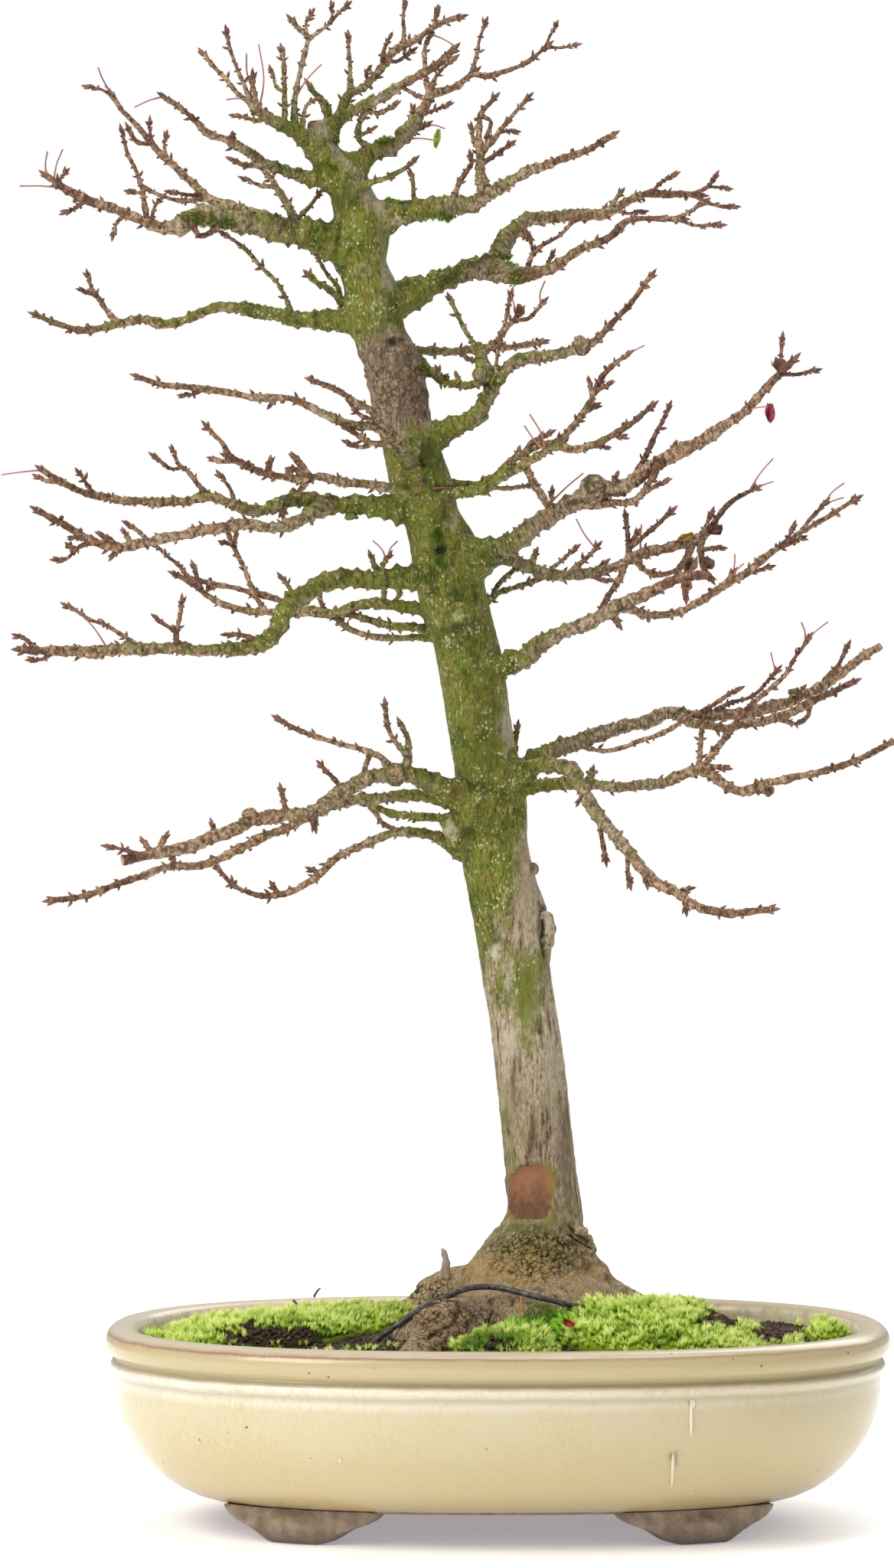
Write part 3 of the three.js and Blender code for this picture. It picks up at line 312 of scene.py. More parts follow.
def leaf_scar_rings(material, place):
    """Uneven rings across a shoot, from its length attribute: scars of old leaves and bud scales."""
    length = add(material, "Attribute", "Fac", {}, attribute_name="length")
    shift = add(material, "CombineXYZ", 0, {"X": length})
    way = add(material, "VectorMath", 0, {0: place, 1: (0.35, 0.35, 0.35), 2: shift}, operation="MULTIPLY_ADD")
    return add(material, "TexNoise", "Fac", waves(way, 1.5))


def bark(name, heights, green, brown_side, relief_mm, painted=False):
    """Maple bark: heights gives the ground colour from soil to apex, green the algae's colour.

    Attributes of the piece steer it: algae (0 to 1) and, on limbs, young (1 at a tip) and length
    (in metres along the wood), on the trunk dab, a painted colour with its strength as alpha.
    """
    material, place = new_material(name)
    z = add(material, "SeparateXYZ", "Z", {"Vector": place})
    level = add(material, "MapRange", "Result", {"Value": z, "From Min": 0.09, "From Max": 0.66})
    ground = add(material, "ValToRGB", 0, {"Fac": swayed(material, level, 0.05, waves(place, 30))}, heights)
    # A pattern laid out by a stretched place is drawn out up the tree.
    along_tree = {share: add(material, "Mapping", 0, {"Vector": place, "Scale": (1, 1, share)})
                  for share in (0.16, 0.45, 0.6, 0.8, *((0.3, 0.35) if painted else (0.4,)))}
    ground = over(material, patches(material, along_tree[0.16], 1.6, 0.42, 0.62), ground, brown_side)
    ground = over(material, patches(material, along_tree[0.16], 3.2, 0.52, 0.66), ground, "6E5C46")
    if not painted:
        ground = age_tones(material, place, ground)
    moss_green = green
    for way, size_mm, low, high, tint in ((place, 5, 0.38, 0.62, "858038"), (place, 11, 0.5, 0.7, "3F5418"),
                                          (along_tree[0.6], 2.6, 0.58, 0.68, "B3A878")):
        moss_green = over(material, patches(material, way, size_mm, low, high), moss_green, tint)
    algae = add(material, "Attribute", "Fac", {}, attribute_name="algae")
    algae = swayed(material, algae, 1.5, waves(along_tree[0.45], 7, 6.0, 0.7))
    algae = add(material, "MapRange", "Result", {"Value": algae, "From Min": 1.02, "From Max": 1.42})
    tone = over(material, algae, ground, moss_green)
    if painted:
        dab = add(material, "Attribute", "Color", {}, attribute_name="dab")
        mask = swayed(material, dab.node.outputs["Alpha"], 1.8, waves(along_tree[0.35], 2.4, 6.0, 0.75))
        mask = add(material, "MapRange", "Result", {"Value": mask, "From Min": 1.1, "From Max": 1.75})
        tone = crust_lines(material, place, over(material, mask, tone, dab))
    flecks = cell_marks(material, along_tree[0.8], 1.8, 0.24, 0.36)
    for part in (patches(material, place, 8, 0.48, 0.58), algae):
        flecks = add(material, "Math", 0, {0: flecks, 1: part}, operation="MULTIPLY")
    tone = over(material, flecks, tone, "C9C69A")
    fine = add(material, "TexNoise", "Fac", waves(along_tree[0.3 if painted else 0.4], 0.9, 5.0, 0.7))
    height = swayed(material, fine, 1.6, waves(along_tree[0.16], 3, 6.0))
    # The low parts of the fine relief are darkened: partly the bark's own dark fibres, partly painted shade in the
    # grooves.
    darkest = (0.32, 0.28, 0.24, 1) if painted else (0.5, 0.44, 0.38, 1)
    dark = add(material, "ValToRGB", 0, {"Fac": fine}, [(0.36, darkest), (0.55, "FFFFFF")])
    if painted:
        dark = over(material, mask, dark, (0.85, 0.85, 0.85, 1))
    else:
        rings = leaf_scar_rings(material, place)
        height = add(material, "Math", 0, {0: rings, 1: 2.2, 2: height}, operation="MULTIPLY_ADD")
        # The rings are darkened where they dip: partly the scars' own dark colour, partly painted shade in the
        # grooves between them.
        lines = add(material, "ValToRGB", 0, {"Fac": rings}, [(0.36, (0.8, 0.8, 0.8, 1)), (0.48, "000000")])
        tone = over(material, lines, tone, "5A4632")
    tone = add(material, "Mix", 2, {0: 1.0, 6: tone, 7: dark}, data_type="RGBA", blend_type="MULTIPLY")
    dents = add(material, "Bump", 0, {"Height": height, "Distance": relief_mm * MM, "Strength": 0.9})
    return finish_with(material, tone, 0.85, Specular_IOR_Level=0.25, Normal=dents)


TRUNK_COLOURS = [
    (0.0, "B0946A"), (0.04, "B89B6C"), (0.09, "A8966C"), (0.19, "B09E7C"), (0.24, "CCBB9C"), (0.31, "C4B294"),
    (0.42, "AA9C78"), (0.7, "8F8258"), (0.725, "8E785C"), (0.8, "8C765A"), (0.83, "9A8C6A"), (0.92, "A39A78"),
    (1.0, "9A8468"),
]
trunk_bark = bark("Old maple bark, fibrous with green algae", TRUNK_COLOURS, "74832C", "BFAF98", 0.9, painted=True)
limb_bark = bark("Limb bark, grey-brown with green algae", [(0.0, "8E7A58"), (0.5, "8C7A5A"), (1.0, "7E7054")],
                 "808F3A", "BDAD94", 0.8)
twig_bark = bark("Young twig bark, reddish brown", [(0.0, "9A7E6A"), (0.5, "957A66"), (1.0, "8E7462")],
                 "858A4C", "BDA285", 0.6)
print("bark made")

# %% [markdown]
# The trunk and its limbs were traced once, in the front view, as rows of numbers: first the
# trunk's left and right edge at each height, then each limb with its depth, thickness and route.
# A curve through those points is what a branch is: a line that wanders and thins.

# %% Trunk outline
def numbers(text):
    return [float(number) for number in text.split()]


def spots(text):
    """Groups of numbers: spaces part the groups, commas the numbers of one group."""
    return [numbers(group.replace(",", " ")) for group in text.split()]


TRUNK = spots("""
157,402,426 172,401,431 190,403,437 212,411,455 232,426,479 252,431,486 280,436,499 302,438,509 345,443,504
375,449,517 402,449,526 434,462,529 478,476,550 516,483,559 554,494,563 600,503,578 643,512,594 679,529,601
728,537,630 775,547,634 823,563,646 870,572,658 951,586,668 998,593,678 1046,597,688 1110,603,690 1160,612,702
1200,619,716 1230,623,722 1262,628,718 1325,639,727 1395,647,738 1465,654,746 1536,661,754 1585,664,760
1610,653,766 1641,627,776 1664,599,798 1690,571,827 1718,556,842 1755,562,826 1800,600,790 1835,640,750
""")
print(len(TRUNK), "rows of trunk outline")

# %% [markdown]
# A limb's line holds its name, its depth at root, middle and tip, its widths from root to tip and
# its route as u,v spots. A root depth may instead name the limb that it grows from. The indented
# lines below it are its twigs: widths, how far the tip leans back from the root, and route.

# %% Limbs and twigs
LIMB_TABLE = """
crown_left; -14 -20 -34; 22 16 12; 424,205 405,185 385,172 365,162 345,150 332,140
 9 6; -6; 335,140 330,120 330,100
 7 5; 8; 330,140 310,122 295,105 278,87 265,70
 5 4; -14; 332,142 315,105 304,75 296,42
 6 4; 10; 348,154 335,158 320,152 307,151
 7 5; 6; 372,165 371,140 372,115 370,80 368,66
 4 3; 5; 371,122 362,113 354,93
 9 7 5; 12; 384,170 386,130 392,95 400,65 403,48 392,38 381,26
 5 4; 8; 402,50 425,37 440,18 453,7
 4 3; 5; 402,48 400,30 407,17
 4 3; -5; 430,31 433,18 433,8
 6 4; -8; 396,177 398,145 405,133 412,130
apex_stub; -12 -8 -4; 12 9 6; 426,200 428,170 427,145 418,130 410,122 403,110
crown_back; -12 5 25; 14 12 10 9 8 6; 430,220 432,180 437,160 445,145 458,122 470,117 490,99 500,85 515,67 \
530,58 545,52 555,43 575,30 602,22
 7 4; 10; 458,122 457,100 457,80 455,48
 5 4; -6; 482,107 478,98 481,91
 6 4; -10; 502,84 502,65 509,49
 5 4; 8; 505,80 520,80 538,67
 6 4; 12; 528,60 528,45 527,25 529,4
 4 3; -6; 565,36 570,25 571,14
crown_front; -12 -22 -30; 14 12 11 9; 432,178 440,157 455,148 480,134 495,130 525,112 555,95 570,85 592,65
 5 4; -5; 525,112 535,120 546,126
crown_right; -10 -5 12; 30 25 20 15 10; 430,236 460,217 480,205 500,195 520,183 535,167 545,157 558,132 565,118
 9 7 5; -18; 490,200 470,183 472,158 480,145 495,147 515,137
 5 4; -6; 469,178 478,173 487,168
 7 5; 8; 505,192 525,188 540,175 557,163
 7 6 4; 14; 563,125 556,100 555,65 562,45 571,15
 6 4; -8; 564,122 566,106 575,92 593,77
 9 8; -4; 564,124 590,115 605,105 620,94
 6 4; 10; 618,96 622,70 627,50 634,30
 7 5; -12; 618,96 640,99 670,90 690,80 715,60
 4 3; -3; 712,62 735,62 751,59
 4 3; 5; 714,61 720,45 726,33
 6 4; -10; 550,150 565,145 585,137
 6 4; 8; 533,169 537,152 540,142
short_right_twig; -18 -28 -32; 8 7 5; 466,246 485,239 500,235 515,228 530,220 540,210
high_left_limb; -8 -30 -50; 20 15 12 8 5; 458,250 430,238 400,232 380,226 345,212 330,203 300,185 275,176 \
260,162 235,140 214,126
 8 7; -4; 302,187 303,178
mossy_left_limb; -6 -25 -40; 42 34 28 23 25 15 12 11 8; 468,322 432,314 402,308 364,300 320,292 290,284 268,281 \
252,286 238,294 215,297 190,290 150,273 112,260 90,250 60,229
 8 7; -12; 290,284 275,303 262,308 253,296
 5 4; 5; 165,281 152,292 148,306
 5 4; -5; 112,260 100,270 86,277
 4 3; 5; 80,244 80,232 86,225
 7 6 4; 8; 193,290 187,255 177,223 165,195 159,171
 4 3; 3; 187,252 170,250
 5 4; -8; 198,290 202,270 212,258
left_limb_above_it; mossy_left_limb 15 35; 20 16 12 9 7 5; 425,312 402,302 364,290 333,279 306,272 270,257 \
250,238 218,208 200,190 175,160 160,145 145,122
 4 3; 4; 150,130 130,115 115,113
 5 4; 4; 218,208 215,190 217,178
 4 3; -4; 200,190 197,175 196,160
 6 4; -6; 198,190 180,185 168,168
 7 5; 8; 272,259 240,262 218,258 190,247
 6 4; -7; 268,256 250,256 224,251
left_limb_spur; left_limb_above_it -30 -45; 10 9 7 6; 394,304 385,283 375,268 362,245 350,228 340,218 320,216 \
303,209
 6 4; 6; 360,246 345,243 320,234
 6 4; 6; 386,288 400,275 417,253
twig_behind_crown; 0 18 30; 10 9 7; 470,398 448,395 440,388 428,375 415,368 402,358
 6 4; 6; 446,393 440,373 428,358 412,330
wavy_left_limb; -2 10 22; 26 22 19 16 13 11 11 10 8 5; 484,426 446,418 402,417 367,413 329,406 291,400 272,406 \
245,416 209,422 182,417 161,423 130,430 107,431 77,423 46,411
 8 6 4; 10; 157,424 140,405 122,380 115,360
 5 4; -4; 125,386 108,380
 6 5 4; -20; 383,412 367,375 344,352 321,325 291,305
front_branch; -8 -32 -48; 22 18 14 12; 552,674 554,652 546,630 538,610 528,590 518,575 505,563 492,557
front_branch_left; front_branch -56 -64; 12 10 9 8 9 5; 508,565 492,557 465,556 440,549 410,534 380,521 340,519 \
300,514 262,507 215,503 180,492
 5 4; 4; 265,508 250,515 240,516
 7 5; 3; 360,520 354,528
front_branch_upper_left; front_branch -58 -66; 10 8 7 6; 503,562 493,548 484,535 460,522 437,509 408,497
 6 5; -5; 494,552 475,545 465,537 457,523
front_branch_lower_left; front_branch -40 -53; 9 7 6; 540,604 527,590 515,583 490,578 475,575 463,566 448,555
 6 5; -4; 482,577 475,583 463,583 455,579
front_branch_pale; front_branch -28 -34; 10 9 6; 536,607 541,590 545,575 542,558 545,545
bud_limb; -10 -50 -78; 14 11 11 11 9 8 8; 560,656 540,643 515,638 490,634 445,628 415,623 398,628 360,622 \
330,612 298,597
 6 5; -8; 300,598 290,578 270,557
 7 6; 5; 303,600 290,602 279,600
 7 6; -4; 351,619 352,604
 10 8; 5; 403,626 394,609 386,598
 8 6; -6; 397,628 388,613 380,612
 7 6; 5; 384,627 377,617
 9 7; 3; 400,628 394,638
long_left_limb; -2 -22 -36; 28 24 22 19 13 12 11 10 9 6; 558,670 515,662 460,659 420,655 385,653 355,662 \
338,667 305,658 275,649 240,655 184,654 150,651 120,647 80,630 55,614
 6 5 4; -8; 272,649 260,633 240,612 225,612 202,597
 5 4; 6; 240,613 232,605 226,588
 6 4; 8; 305,657 303,645 288,621
 6 4; -8; 122,647 112,630 103,618
 6 4; 6; 82,631 65,628 50,623
 12 9; -2; 385,652 380,641
 10 8; 2; 372,657 370,670
 12 9; -2; 458,660 458,676
long_left_limb_lower; long_left_limb -38 -52; 20 15 13 12 12 11 9 7; 430,657 415,664 400,675 385,683 350,690 \
320,685 280,690 245,697 190,709 160,714 130,711 118,706 80,684 50,667
 6 4; -6; 122,708 103,715 88,730 75,731
 5 4; 4; 97,719 90,713
 6 4; 8; 118,706 95,702
 6 4; -8; 195,708 183,697 167,685
 6 5; 6; 172,712 163,695
 6 5; -5; 155,713 143,704 133,699
 8 6; 3; 156,714 148,726
green_left_limb; -6 -32 -48; 30 25 22 22 24 20 16 14 14 15 12 9; 575,755 536,755 500,756 460,757 430,758 \
412,765 398,776 380,790 371,806 360,822 337,841 315,847 270,849 210,847 150,850 110,851 70,850 29,849
 6 5 4; 10; 184,848 165,833 145,820 120,810 88,792
 7 5; -10; 231,848 231,825 237,785
 5 4; -4; 231,825 218,818 205,808
 6 4; 6; 48,849 35,837 23,831
 6 4; -6; 72,850 57,861 42,862
 5 4; 6; 388,784 368,755
 7 5; -5; 338,840 320,830 298,829
 7 5; 3; 500,755 490,738 485,727
 7 5; -6; 503,755 500,740 507,727
rear_left_limb; 4 35 62; 18 14 13 12 11 9 8 8 7; 590,805 560,798 515,791 495,787 475,790 440,799 405,799 \
370,801 320,796 300,792 270,777 247,756
 7 6 5; 8; 346,799 338,785 322,752 308,718 298,696
 6 5; -4; 304,710 292,708
 6 5; 6; 306,714 309,696
 6 5 4; -14; 249,758 235,740 220,728 198,709
 8 5; -4; 252,760 240,755 228,750
 7 5; 4; 262,768 257,750 253,740
 7 6; -6; 503,789 503,767
 6 5; -6; 510,790 520,778 523,768
 6 5; 4; 424,799 416,775
rear_left_root_middle; 6 22 34; 12 10 9 9; 590,830 545,820 520,818 500,816 480,810 460,803 436,799
rear_left_root_lower; 10 30 36; 10 8 8 8; 590,838 547,832 520,834 480,829 450,817 440,808 424,799
rear_left_limb_upper; rear_left_root_lower 50 62; 9 8 7 7; 425,799 400,795 360,783 320,772 285,764 250,757
 6 5; 3; 284,764 274,769
lowest_left_limb; -4 -38 -70; 44 30 23 20 18 16 16 16 15 14 12; 648,1062 605,1046 574,1027 547,1015 517,1012 \
482,1017 455,1030 432,1045 402,1061 367,1067 333,1070 306,1084 245,1105 207,1114 160,1124
 9 8 6; 8; 527,1013 534,985 533,965 524,946
 7 5; -6; 534,990 517,968 508,950 503,921
 9 8 7 5; -10; 512,1012 500,990 482,982 451,973 421,965 394,955 365,940
 7 5; 3; 474,1019 478,1000 482,988
 6 4; -8; 447,1034 430,1010 419,999
 7 6; 4; 376,1065 370,1045 367,1032
 6 5; 3; 283,1092 277,1078
 8 6; -6; 203,1115 216,1093
 7 6; 5; 198,1116 188,1100
 6 4; -5; 184,1121 165,1110 142,1106
 16 14; -9; 516,1012 515,1006
 14 12; -2; 331,1071 324,1061
 10 8; 2; 410,1057 411,1077
 6 5; 4; 224,1110 226,1128
straight_left_limb; 0 -14 -26; 18 15 14 13 11 11 10 9 8 7; 640,1058 590,1046 559,1041 517,1038 490,1043 \
448,1047 421,1056 383,1077 344,1094 306,1112 275,1128 230,1131 207,1135 172,1149 142,1160 111,1170 67,1176
rear_low_left_limb; 6 16 24; 14 10 10 9 7; 635,1088 590,1072 543,1067 505,1060 478,1050
 7 6; 14; 484,1053 500,1075 517,1085
arched_left_limb; 8 30 48; 22 16 13 11 10 9 8 6 5; 650,1134 597,1110 574,1095 547,1087 517,1088 478,1104 \
444,1118 420,1140 405,1153 379,1165 346,1170 321,1164 302,1153 283,1133
 6 5; 3; 420,1140 407,1136
 6 5; -3; 364,1169 357,1158
high_right_limb; -10 -24 -38; 38 28 25 24 20 15 12 10 8 7; 474,292 500,281 530,277 570,270 610,267 630,258 \
650,247 670,233 690,223 730,210 770,195 800,177
 6 5; 4; 544,274 540,240 537,228
 7 5; -6; 590,268 600,241 617,212 615,204
 14 12 8 5; 8; 634,255 628,225 627,195 627,160 629,148 646,128
 5 4; 5; 627,200 618,180 616,167
 5 4; -4; 628,150 641,157 637,178
 8 6 4; -10; 628,198 640,187 655,168 690,128
 4 3; 3; 652,171 672,172
 6 5; 8; 630,215 652,198 667,188
strong_right_limb; -2 10 22; 38 33 28 25 22 18 15 14 11 9 6; 486,404 515,392 540,384 570,371 600,358 640,341 \
657,322 670,302 690,287 710,284 770,279 795,276 835,257 850,252 870,253 915,255
 5 4; -4; 905,255 925,243 934,231
 5 4; 5; 908,255 920,262 940,268 958,270
 4 3; 3; 925,243 949,246
 6 5; 6; 795,276 803,262 811,252
 5 4; -5; 850,252 862,240 880,229
 5 4; 4; 806,272 815,279 838,277
 7 6; -4; 672,301 690,310
strong_right_limb_lower; strong_right_limb -10 -20; 20 16 14 11 10 9 7 6; 632,344 650,350 665,356 690,357 \
730,345 745,335 760,325 795,310 815,291 830,286 890,286
 5 4; -5; 880,286 905,274 920,264
 5 4; 4; 885,286 905,294 940,294
 6 5 4; -6; 688,357 693,335 700,326 728,310 750,287
 5 4; 4; 697,329 689,305
 5 4; 5; 712,350 722,332
dark_stub; strong_right_limb -4 -10; 13 12 11 7; 615,355 640,361 660,364 680,365 700,361
curved_right_limb; -6 -30 -46; 34 27 25 22 19 17 15 14 12 8 7 6 5; 528,590 568,569 605,553 620,543 632,527 \
645,508 653,494 672,474 710,465 745,457 775,447 787,438 800,422 820,400 851,360
 16 18 15 10; 5; 652,497 640,490 631,478 628,462 623,448
 7 6 5; 10; 627,460 612,440 597,412 588,390
 7 6 4; -8; 628,464 643,452 665,425 675,418 690,415 710,395
 6 5; 8; 655,437 660,420 668,385
 5 4; -12; 650,497 648,475 655,438
 7 5; -5; 630,470 613,468 604,461
 14 12; -5; 634,488 623,487
 7 6; 4; 674,419 680,407
 16 14; -3; 760,452 765,442
looped_right_limb; 2 -6 -18; 13 11 10 9; 518,458 540,467 555,480 570,491 585,500 605,504 622,500 636,492
 7 5; -5; 577,496 572,484
 7 5; 4; 600,503 597,491
brown_rear_limb; 3 28 44; 13 11 9 9 8 9 7; 518,465 540,460 580,460 605,458 645,452 660,453 680,452 709,446
low_right_spray; -12 -44 -66; 16 13 12 12 10 9 8 7 5; 556,662 575,650 610,642 630,640 645,632 660,620 690,603 \
715,590 730,585 760,586 790,573 820,557 852,531
 9 9; 16; 686,606 697,628 711,655 720,674
 5 4; 5; 772,581 783,583 791,584
 6 5; 3; 732,586 738,576
 5 4; -3; 798,569 813,571
 6 5 4; -6; 637,637 660,638 697,634
low_right_spray_upper; -8 -36 -50; 11 9 9 9 8 8 7 5; 560,642 590,632 630,633 645,624 670,601 705,582 735,571 \
755,550 772,520 785,495 803,475 820,463
 6 5; -5; 688,591 693,580 717,566
 5 4; 5; 672,600 677,588
 6 5; 5; 762,540 778,530
 6 5; -5; 776,512 795,502
 6 5; 4; 775,515 770,499
big_right_limb; -6 -24 -38; 42 30 26 25 22 20 20 17 17 18 14 12 10 9 8; 596,738 632,725 650,719 670,708 692,690 \
722,674 756,652 775,643 807,640 832,625 858,606 883,593 920,574 940,561 975,534 1005,503 1037,470
 5 4; -4; 1016,492 1020,475 1022,443
 5 4; 6; 1018,490 1040,489 1065,484
 8 6 4; 8; 830,626 845,592 865,550 874,531
 7 5; -6; 797,641 805,622
 7 5; 5; 876,596 881,582
 11 10 8 7; -12; 746,658 775,661 798,657 824,655 843,637 862,606
 7 5; -5; 838,643 855,636 869,629
 6 4; -5; 718,676 721,643
 22 17; -5; 778,643 776,637
right_limb_behind; 6 26 44; 24 19 16 14 14 13 12 12 12 12 8 6 5; 596,722 640,726 670,731 683,738 713,748 \
743,752 777,748 815,735 841,724 880,713 915,702 926,692 937,676 960,652 988,637
 7 5; 6; 742,752 760,735 780,714
 5 4; -6; 716,748 735,730 751,717
 7 5; 6; 822,732 821,715 817,674
 6 5; 4; 821,714 832,697
 6 5; -8; 824,716 845,697 877,668
 9 9; -26; 816,735 812,752 792,785 782,806
 8 6; -8; 832,728 840,742 855,750 885,745 898,735
 8 6; 5; 690,741 700,722
 6 5; 4; 772,748 790,735
 6 5; -4; 772,748 782,757 795,758
 9 7; 6; 906,706 900,722 886,746
 9 8; -6; 918,700 915,718 918,738 928,755
 6 5; 5; 915,718 930,716 942,716
 6 4; -5; 916,701 929,671
thin_right_twig; 8 20 27; 10 8 7 7; 600,792 636,786 655,775 690,762 716,750
 7 6; 0; 645,782 655,760 676,736
rising_right_limb; -4 -26 -42; 38 26 23 20 18 17 16 15 13 10; 618,892 665,868 687,861 706,842 732,826 767,814 \
799,798 830,782 862,766 892,754 926,751
 8 6; -3; 892,755 896,779
 9 7; 4; 797,799 807,814
rising_right_limb_lower; rising_right_limb -10 8; 12 10 9 10 8 7 6 5; 812,792 828,797 845,803 862,804 883,801 \
917,784 947,764 981,744 1011,721 1040,700 1067,684 1118,652
 6 4; -5; 1050,693 1062,675 1078,657
 6 4; 4; 976,747 990,745 1005,741
 5 4; -4; 1026,710 1036,688
 6 5; 5; 1024,711 1040,707 1048,703
 8 6; 3; 943,767 957,750
lower_right_limb; 8 26 44; 44 28 23 21 19 17 15 14 14 15 14 13 11 11; 640,1034 687,1008 706,991 732,977 760,967 \
802,952 842,942 877,931 904,935 968,933 1006,924 1051,908 1073,897 1095,882 1118,864 1150,844
 7 6 6; -8; 754,969 775,978 802,980 832,970 870,955 897,938
 6 5; -6; 912,935 937,917 964,901
 6 5 4; 5; 926,934 957,918 980,910 995,900 1015,876
 6 5; -6; 1068,900 1085,880 1095,870 1107,845
 5 4; -8; 1026,919 1048,900
lower_right_limb_second; lower_right_limb 20 14; 13 11 10 10 11 10 8 7; 886,934 901,943 928,947 948,951 966,948 \
1017,937 1062,915 1095,900 1115,891
 6 6; 6; 1014,938 1030,942 1042,944 1055,935 1058,918
level_right_limb; 2 -6 -16; 26 18 15 13 12 14 12 13 11 9 8 8 7; 640,1038 700,1026 755,1023 786,1026 826,1027 \
865,1023 893,1012 912,1006 935,1018 950,1026 973,1033 990,1030 1005,1022 1051,1013 1095,1002 1140,983 1165,970
 12 10; 3; 988,1031 1005,1034
 8 7; -4; 912,1007 935,1002 946,1003
 7 6; 26; 912,1006 914,985 918,945
 9 8 7 6 4; 8; 914,1006 939,975 957,949 985,918 1015,892 1029,879 1040,859 1056,834
 10 8; 3; 768,1025 773,1009
drooping_right_limb; -8 -44 -84; 24 20 18 17 15 14 14 13 12 10 9 8; 650,1022 690,1005 712,999 735,1000 748,1008 \
764,1034 782,1066 798,1083 822,1112 842,1138 865,1157 893,1173 924,1188 952,1193 1007,1188
 6 5; -4; 786,1070 786,1090 791,1122
 5 5; 4; 823,1113 821,1135 823,1153
 5 4; -3; 866,1158 885,1163 899,1161
 5 4; 2; 764,1034 757,1046
 8 6; -3; 842,1138 845,1152
 7 5; 2; 893,1173 896,1187
side_twig; 8 12 12; 7 6 4; 652,1008 672,985 673,968 676,950
back_limb; 12 70 120; 16 12 9 6; 614,915 612,885 610,862 604,838
 6 5; 26; 611,868 622,855 630,846
upper_back_limb; 10 55 95; 13 10 7 5; 541,610 541,590 536,568 530,546
 5 4; 20; 538,575 530,560 522,555
"""
LIMBS = []
for line in LIMB_TABLE.strip().splitlines():
    *facts, way = line.split(";")
    if line.startswith(" "):
        LIMBS[-1][4].append((numbers(facts[0]), float(facts[1]), way))
    else:
        LIMBS.append((facts[0], facts[1].split(), numbers(facts[2]), way, []))
print(len(LIMBS), "limbs")

# %% A smooth route through given points
def smooth_route(points, spacing):
    """Evenly spaced places on a centripetal curve through the points, in millimetres."""
    ends = [points[0] * 2 - points[1], *points, points[-1] * 2 - points[-2]]
    dense = []
    for i in range(1, len(ends) - 2):
        p0, p1, p2, p3 = ends[i - 1:i + 3]
        d0, d1, d2 = (max((b - a).length ** 0.5, 1e-4) for a, b in ((p0, p1), (p1, p2), (p2, p3)))
        start = ((p1 - p0) / d0 - (p2 - p0) / (d0 + d1) + (p2 - p1) / d1) * d1
        end = ((p2 - p1) / d1 - (p3 - p1) / (d1 + d2) + (p3 - p2) / d2) * d1
        for step in range(8):
            t = step / 8
            dense.append(p1 * (2 * t ** 3 - 3 * t ** 2 + 1) + start * (t ** 3 - 2 * t ** 2 + t)
                         + p2 * (3 * t ** 2 - 2 * t ** 3) + end * (t ** 3 - t ** 2))
    dense.append(points[-1])
    travelled = [0.0]
    for a, b in zip(dense, dense[1:]):
        travelled.append(travelled[-1] + (b - a).length)
    count = max(2, round(travelled[-1] / spacing))
    places = []
    for i in range(count + 1):
        target = travelled[-1] * i / count
        k = min(max(1, int(np.searchsorted(travelled, target))), len(dense) - 1)
        span = max(travelled[k] - travelled[k - 1], 1e-6)
        places.append(dense[k - 1].lerp(dense[k], min(1, (target - travelled[k - 1]) / span)))
    return places, travelled[-1]


def clamp(value):
    return min(1, max(0, value))


def bell(value, width):
    """1 at zero and 0.37 at the width."""
    return math.exp(-(value / width) ** 2)


def between(values, t):
    place = clamp(t) * (len(values) - 1)
    low = min(int(place), len(values) - 2)
    return values[low] + (values[low + 1] - values[low]) * (place - low)


print("route length", round(smooth_route([seen(424, 205, 0), seen(332, 140, -30)], 2)[1]), "mm")

# %% The trunk's middle line and thickness at any height
SWAY_ROWS = [157, 400, 800, 1200, 1500, 1835]
SWAY_DEPTHS = [-14, -6, 2, 6, 0, 0]
rings = []
for v, left, right in reversed(TRUNK):
    depth = float(np.interp(v, SWAY_ROWS, SWAY_DEPTHS))
    a, b = seen(left, v, depth), seen(right, v, depth)
    centre = (a + b) / 2
    rings.append((centre.z, centre.x, centre.y, (b.x - a.x) / 2))
RING_HEIGHTS, *RING_COLUMNS = zip(*rings)


def trunk_at(z):
    """Centre x, centre y and radius of the trunk at a height, in millimetres."""
    return [float(np.interp(z, RING_HEIGHTS, column)) for column in RING_COLUMNS]


def off_trunk(place):
    """How far a place lies outside the trunk, in millimetres."""
    centre_x, centre_y, thick = trunk_at(place.z)
    return math.hypot(place.x - centre_x, place.y - centre_y) - thick


print("trunk at z 300:", [round(c, 1) for c in trunk_at(300)])

# %% [markdown]
# Each limb becomes a row of places with a radius. Real maple wood is never even: it swells at
# every node, wanders a little between nodes and flares where it leaves the wood that bears it.
# Twigs end in a pair of pointed buds.

# %% Grow every limb and twig
def knobbly(places, widths, spacing, seed, parent_radius, on_trunk):
    count = len(places) - 1
    sticks = []
    for i, place in enumerate(places):
        t = i / count
        radius = between(widths, t) * PIXEL / 2
        travelled = i * spacing
        node_gap = 6.5 + 3 * noise.noise(Vector((seed, 3, 7)))
        swell = max(0, math.cos(travelled / node_gap * math.tau)) ** 6
        rough = noise.noise(place * 0.16 + Vector((seed, 0, 0))) + 0.9 * noise.noise(place * 0.45)
        radius *= 1.06 + 0.24 * swell + 0.24 * rough
        if on_trunk:
            radius *= 1 + 0.45 * math.exp(-max(0, off_trunk(place)) / (radius + 1.5))
        elif parent_radius:
            radius *= 1 + 0.4 * math.exp(-max(0, travelled - parent_radius) / (radius + 0.8))
        bend = min(1, 4 * t) * min(1, 4 * (1 - t) + 0.3)
        drift = noise.noise_vector(place * 0.09 + Vector((0, seed, 0))) * bend
        sticks.append((place + drift * (0.45 + 0.28 * radius), max(radius, 0.28)))
    return sticks


